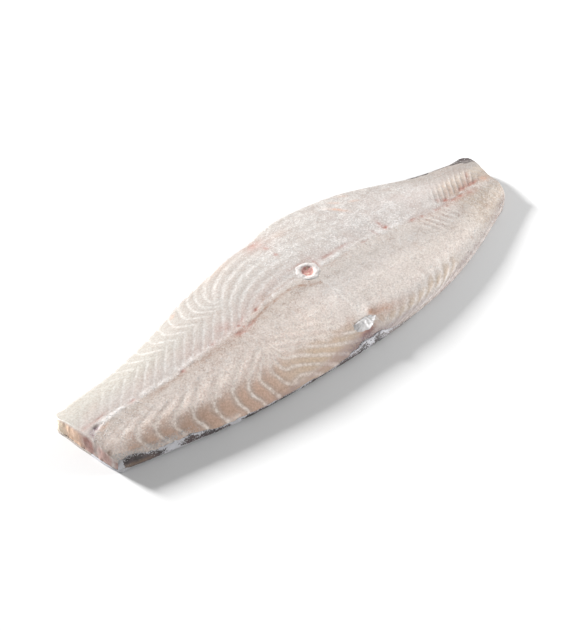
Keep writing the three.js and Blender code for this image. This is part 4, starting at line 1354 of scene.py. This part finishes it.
def grains_piece(lots):
    """Loose grains of ice as one mesh of small rough lumps, from lots of (points, weights, how many)."""
    rng = np.random.default_rng(51)
    ball = bmesh.new()
    bmesh.ops.create_icosphere(ball, subdivisions=1, radius=1)
    form = np.array([v.co[:] for v in ball.verts])
    faces = np.array([[v.index for v in f.verts] for f in ball.faces])
    ball.free()
    at = np.concatenate([points[rng.choice(len(points), many, p=w / w.sum())] for points, w, many in lots])
    count = len(at)
    at[:, :2] += rng.uniform(-GRAIN_STRAY, GRAIN_STRAY, (count, 2))
    size = rng.uniform(*GRAIN_SIZE, count)
    rough = rng.uniform(0.65, 1.25, (count, len(form), 1))
    points = at[:, None] + form[None] * rough * size[:, None, None] * np.array([1, 1, 0.7])
    start = np.arange(count)[:, None, None] * len(form)
    return make_mesh("grains_of_ice", points.reshape(-1, 3), (faces[None] + start).reshape(-1, 3))


def read_values(piece, name):
    out = np.empty(len(piece.data.vertices), np.float32)
    piece.data.attributes[name].data.foreach_get("value", out)
    return out


def read_points(piece):
    """The piece's own points, in millimetres in the plan."""
    out = np.empty(3 * len(piece.data.vertices), np.float32)
    piece.data.vertices.foreach_get("co", out)
    return out.reshape(-1, 3).astype(float) / MM - SHIFT


def grains_on_flesh(flesh):
    """Grains lie where the frost and the chalk are, by the belly edge and the clump, not on stains."""
    points = read_points(flesh)
    x, y, z = points.T
    frost, chalk, blood, umber, rust, cut = (
        read_values(flesh, name) for name in ("frost", "chalk", "blood", "umber", "rust", "cut")
    )
    weight = 0.14 * frost**2 + 0.25 * np.clip(chalk, 0, 1)
    weight = weight + 1.2 * (y - track(BELLY_EDGE, x) < 8) * smooth(-x, 130, 160)
    weight = weight + 0.5 * spot(x, y, *MORE_GRAINS)
    (ring_x, ring_y), clear = NO_GRAINS
    off_ring = np.hypot(x - ring_x, y - ring_y) > clear
    weight = weight * (1 - np.clip(blood + umber + rust, 0, 0.95)) * (1 - cut) * (z > 5) * off_ring
    return points, weight, FLESH_GRAINS


def grains_on_skin(skin):
    """Grains lie on the outside of the skin, where it is frosted."""
    points = read_points(skin)
    weight = (read_values(skin, "frosted") + 0.05) * (points[:, 2] > 1.5)
    weight[len(points) // 2 :] = 0
    return points, weight, SKIN_GRAINS


# ---- The pieces

def place(piece, finish, node, slot):
    """Finish a piece and put it on the frame's one body, in place of a node where there is one."""
    piece.data.materials.append(finish)
    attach(piece, "root")
    if node:
        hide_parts(node)


def dress():
    flesh, skin = flesh_piece(), skin_piece()
    place(flesh, flesh_finish(), "flesh", "flesh")
    place(skin, skin_finish(), "skin", "skin")
    place(ring_piece(), bone_finish(), "bone_ring", "bone")
    place(clump_piece(), ice_finish("white_ice", 0.4), "ice_clump", "ice")
    grains = grains_piece([grains_on_flesh(flesh), grains_on_skin(skin)])
    place(grains, ice_finish("grain_white", 0), None, "ice")


dress()


# ---- Floor, light and camera, in metres, degrees and watts

FLOOR_HALF = 6.0
SKY_STRENGTH = 0.42
LIGHTS = {
    "key": {"azimuth": 194, "elevation": 18.4, "distance": 4, "size": (0.6, 0.6), "power": 528},
    "fill": {"azimuth": 50, "elevation": 16, "distance": 0.75, "size": (0.4, 0.3), "power": 5.85},
}
CAMERA = {"azimuth": -43.5, "elevation": 45, "distance": 1.3, "lens": 101.77, "clip_end": 20}
# What the camera looks at, in millimetres in the plan.
LOOKS_AT = (-15, -1, 0)


def floor_piece():
    mesh = bpy.data.meshes.new("floor")
    corners = [(x * FLOOR_HALF, y * FLOOR_HALF, 0) for x, y in ((-1, -1), (1, -1), (1, 1), (-1, 1))]
    mesh.from_pydata(corners, [], [(0, 1, 2, 3)])
    floor = bpy.data.objects.new("floor", mesh)
    bpy.context.scene.collection.objects.link(floor)
    mesh.materials.append(floor_finish())


def direction(azimuth, elevation):
    """Unit vector towards something seen at that azimuth (0 is -Y, 90 is +X) and elevation."""
    a, e = math.radians(azimuth), math.radians(elevation)
    return Vector((math.sin(a) * math.cos(e), -math.cos(a) * math.cos(e), math.sin(e)))


def set_up(item, towards, distance, target=Vector()):
    """Put a lamp or the camera at a distance from its target, looking at it."""
    item.location = target + towards * distance
    item.rotation_mode = "QUATERNION"
    item.rotation_quaternion = towards.to_track_quat("Z", "Y")
    bpy.context.scene.collection.objects.link(item)


def area_light(name, azimuth, elevation, distance, size, power):
    data = bpy.data.lights.new(name, "AREA")
    data.shape = "RECTANGLE"
    data.size, data.size_y = size
    data.energy = power
    set_up(bpy.data.objects.new(name, data), direction(azimuth, elevation), distance)


def sky(strength):
    world = bpy.data.worlds.new("studio")
    world.use_nodes = True
    background = world.node_tree.nodes["Background"]
    background.inputs["Color"].default_value = (1, 1, 1, 1)
    background.inputs["Strength"].default_value = strength
    bpy.context.scene.world = world


def camera():
    data = bpy.data.cameras.new("camera")
    data.lens = CAMERA["lens"]
    data.clip_end = CAMERA["clip_end"]
    eye = bpy.data.objects.new("camera", data)
    towards = direction(CAMERA["azimuth"], CAMERA["elevation"])
    set_up(eye, towards, CAMERA["distance"], Vector(to_frame(LOOKS_AT)))
    bpy.context.scene.camera = eye


floor_piece()
sky(SKY_STRENGTH)
for light, setting in LIGHTS.items():
    area_light(light, **setting)
camera()
bpy.context.scene.view_settings.view_transform = "Standard"
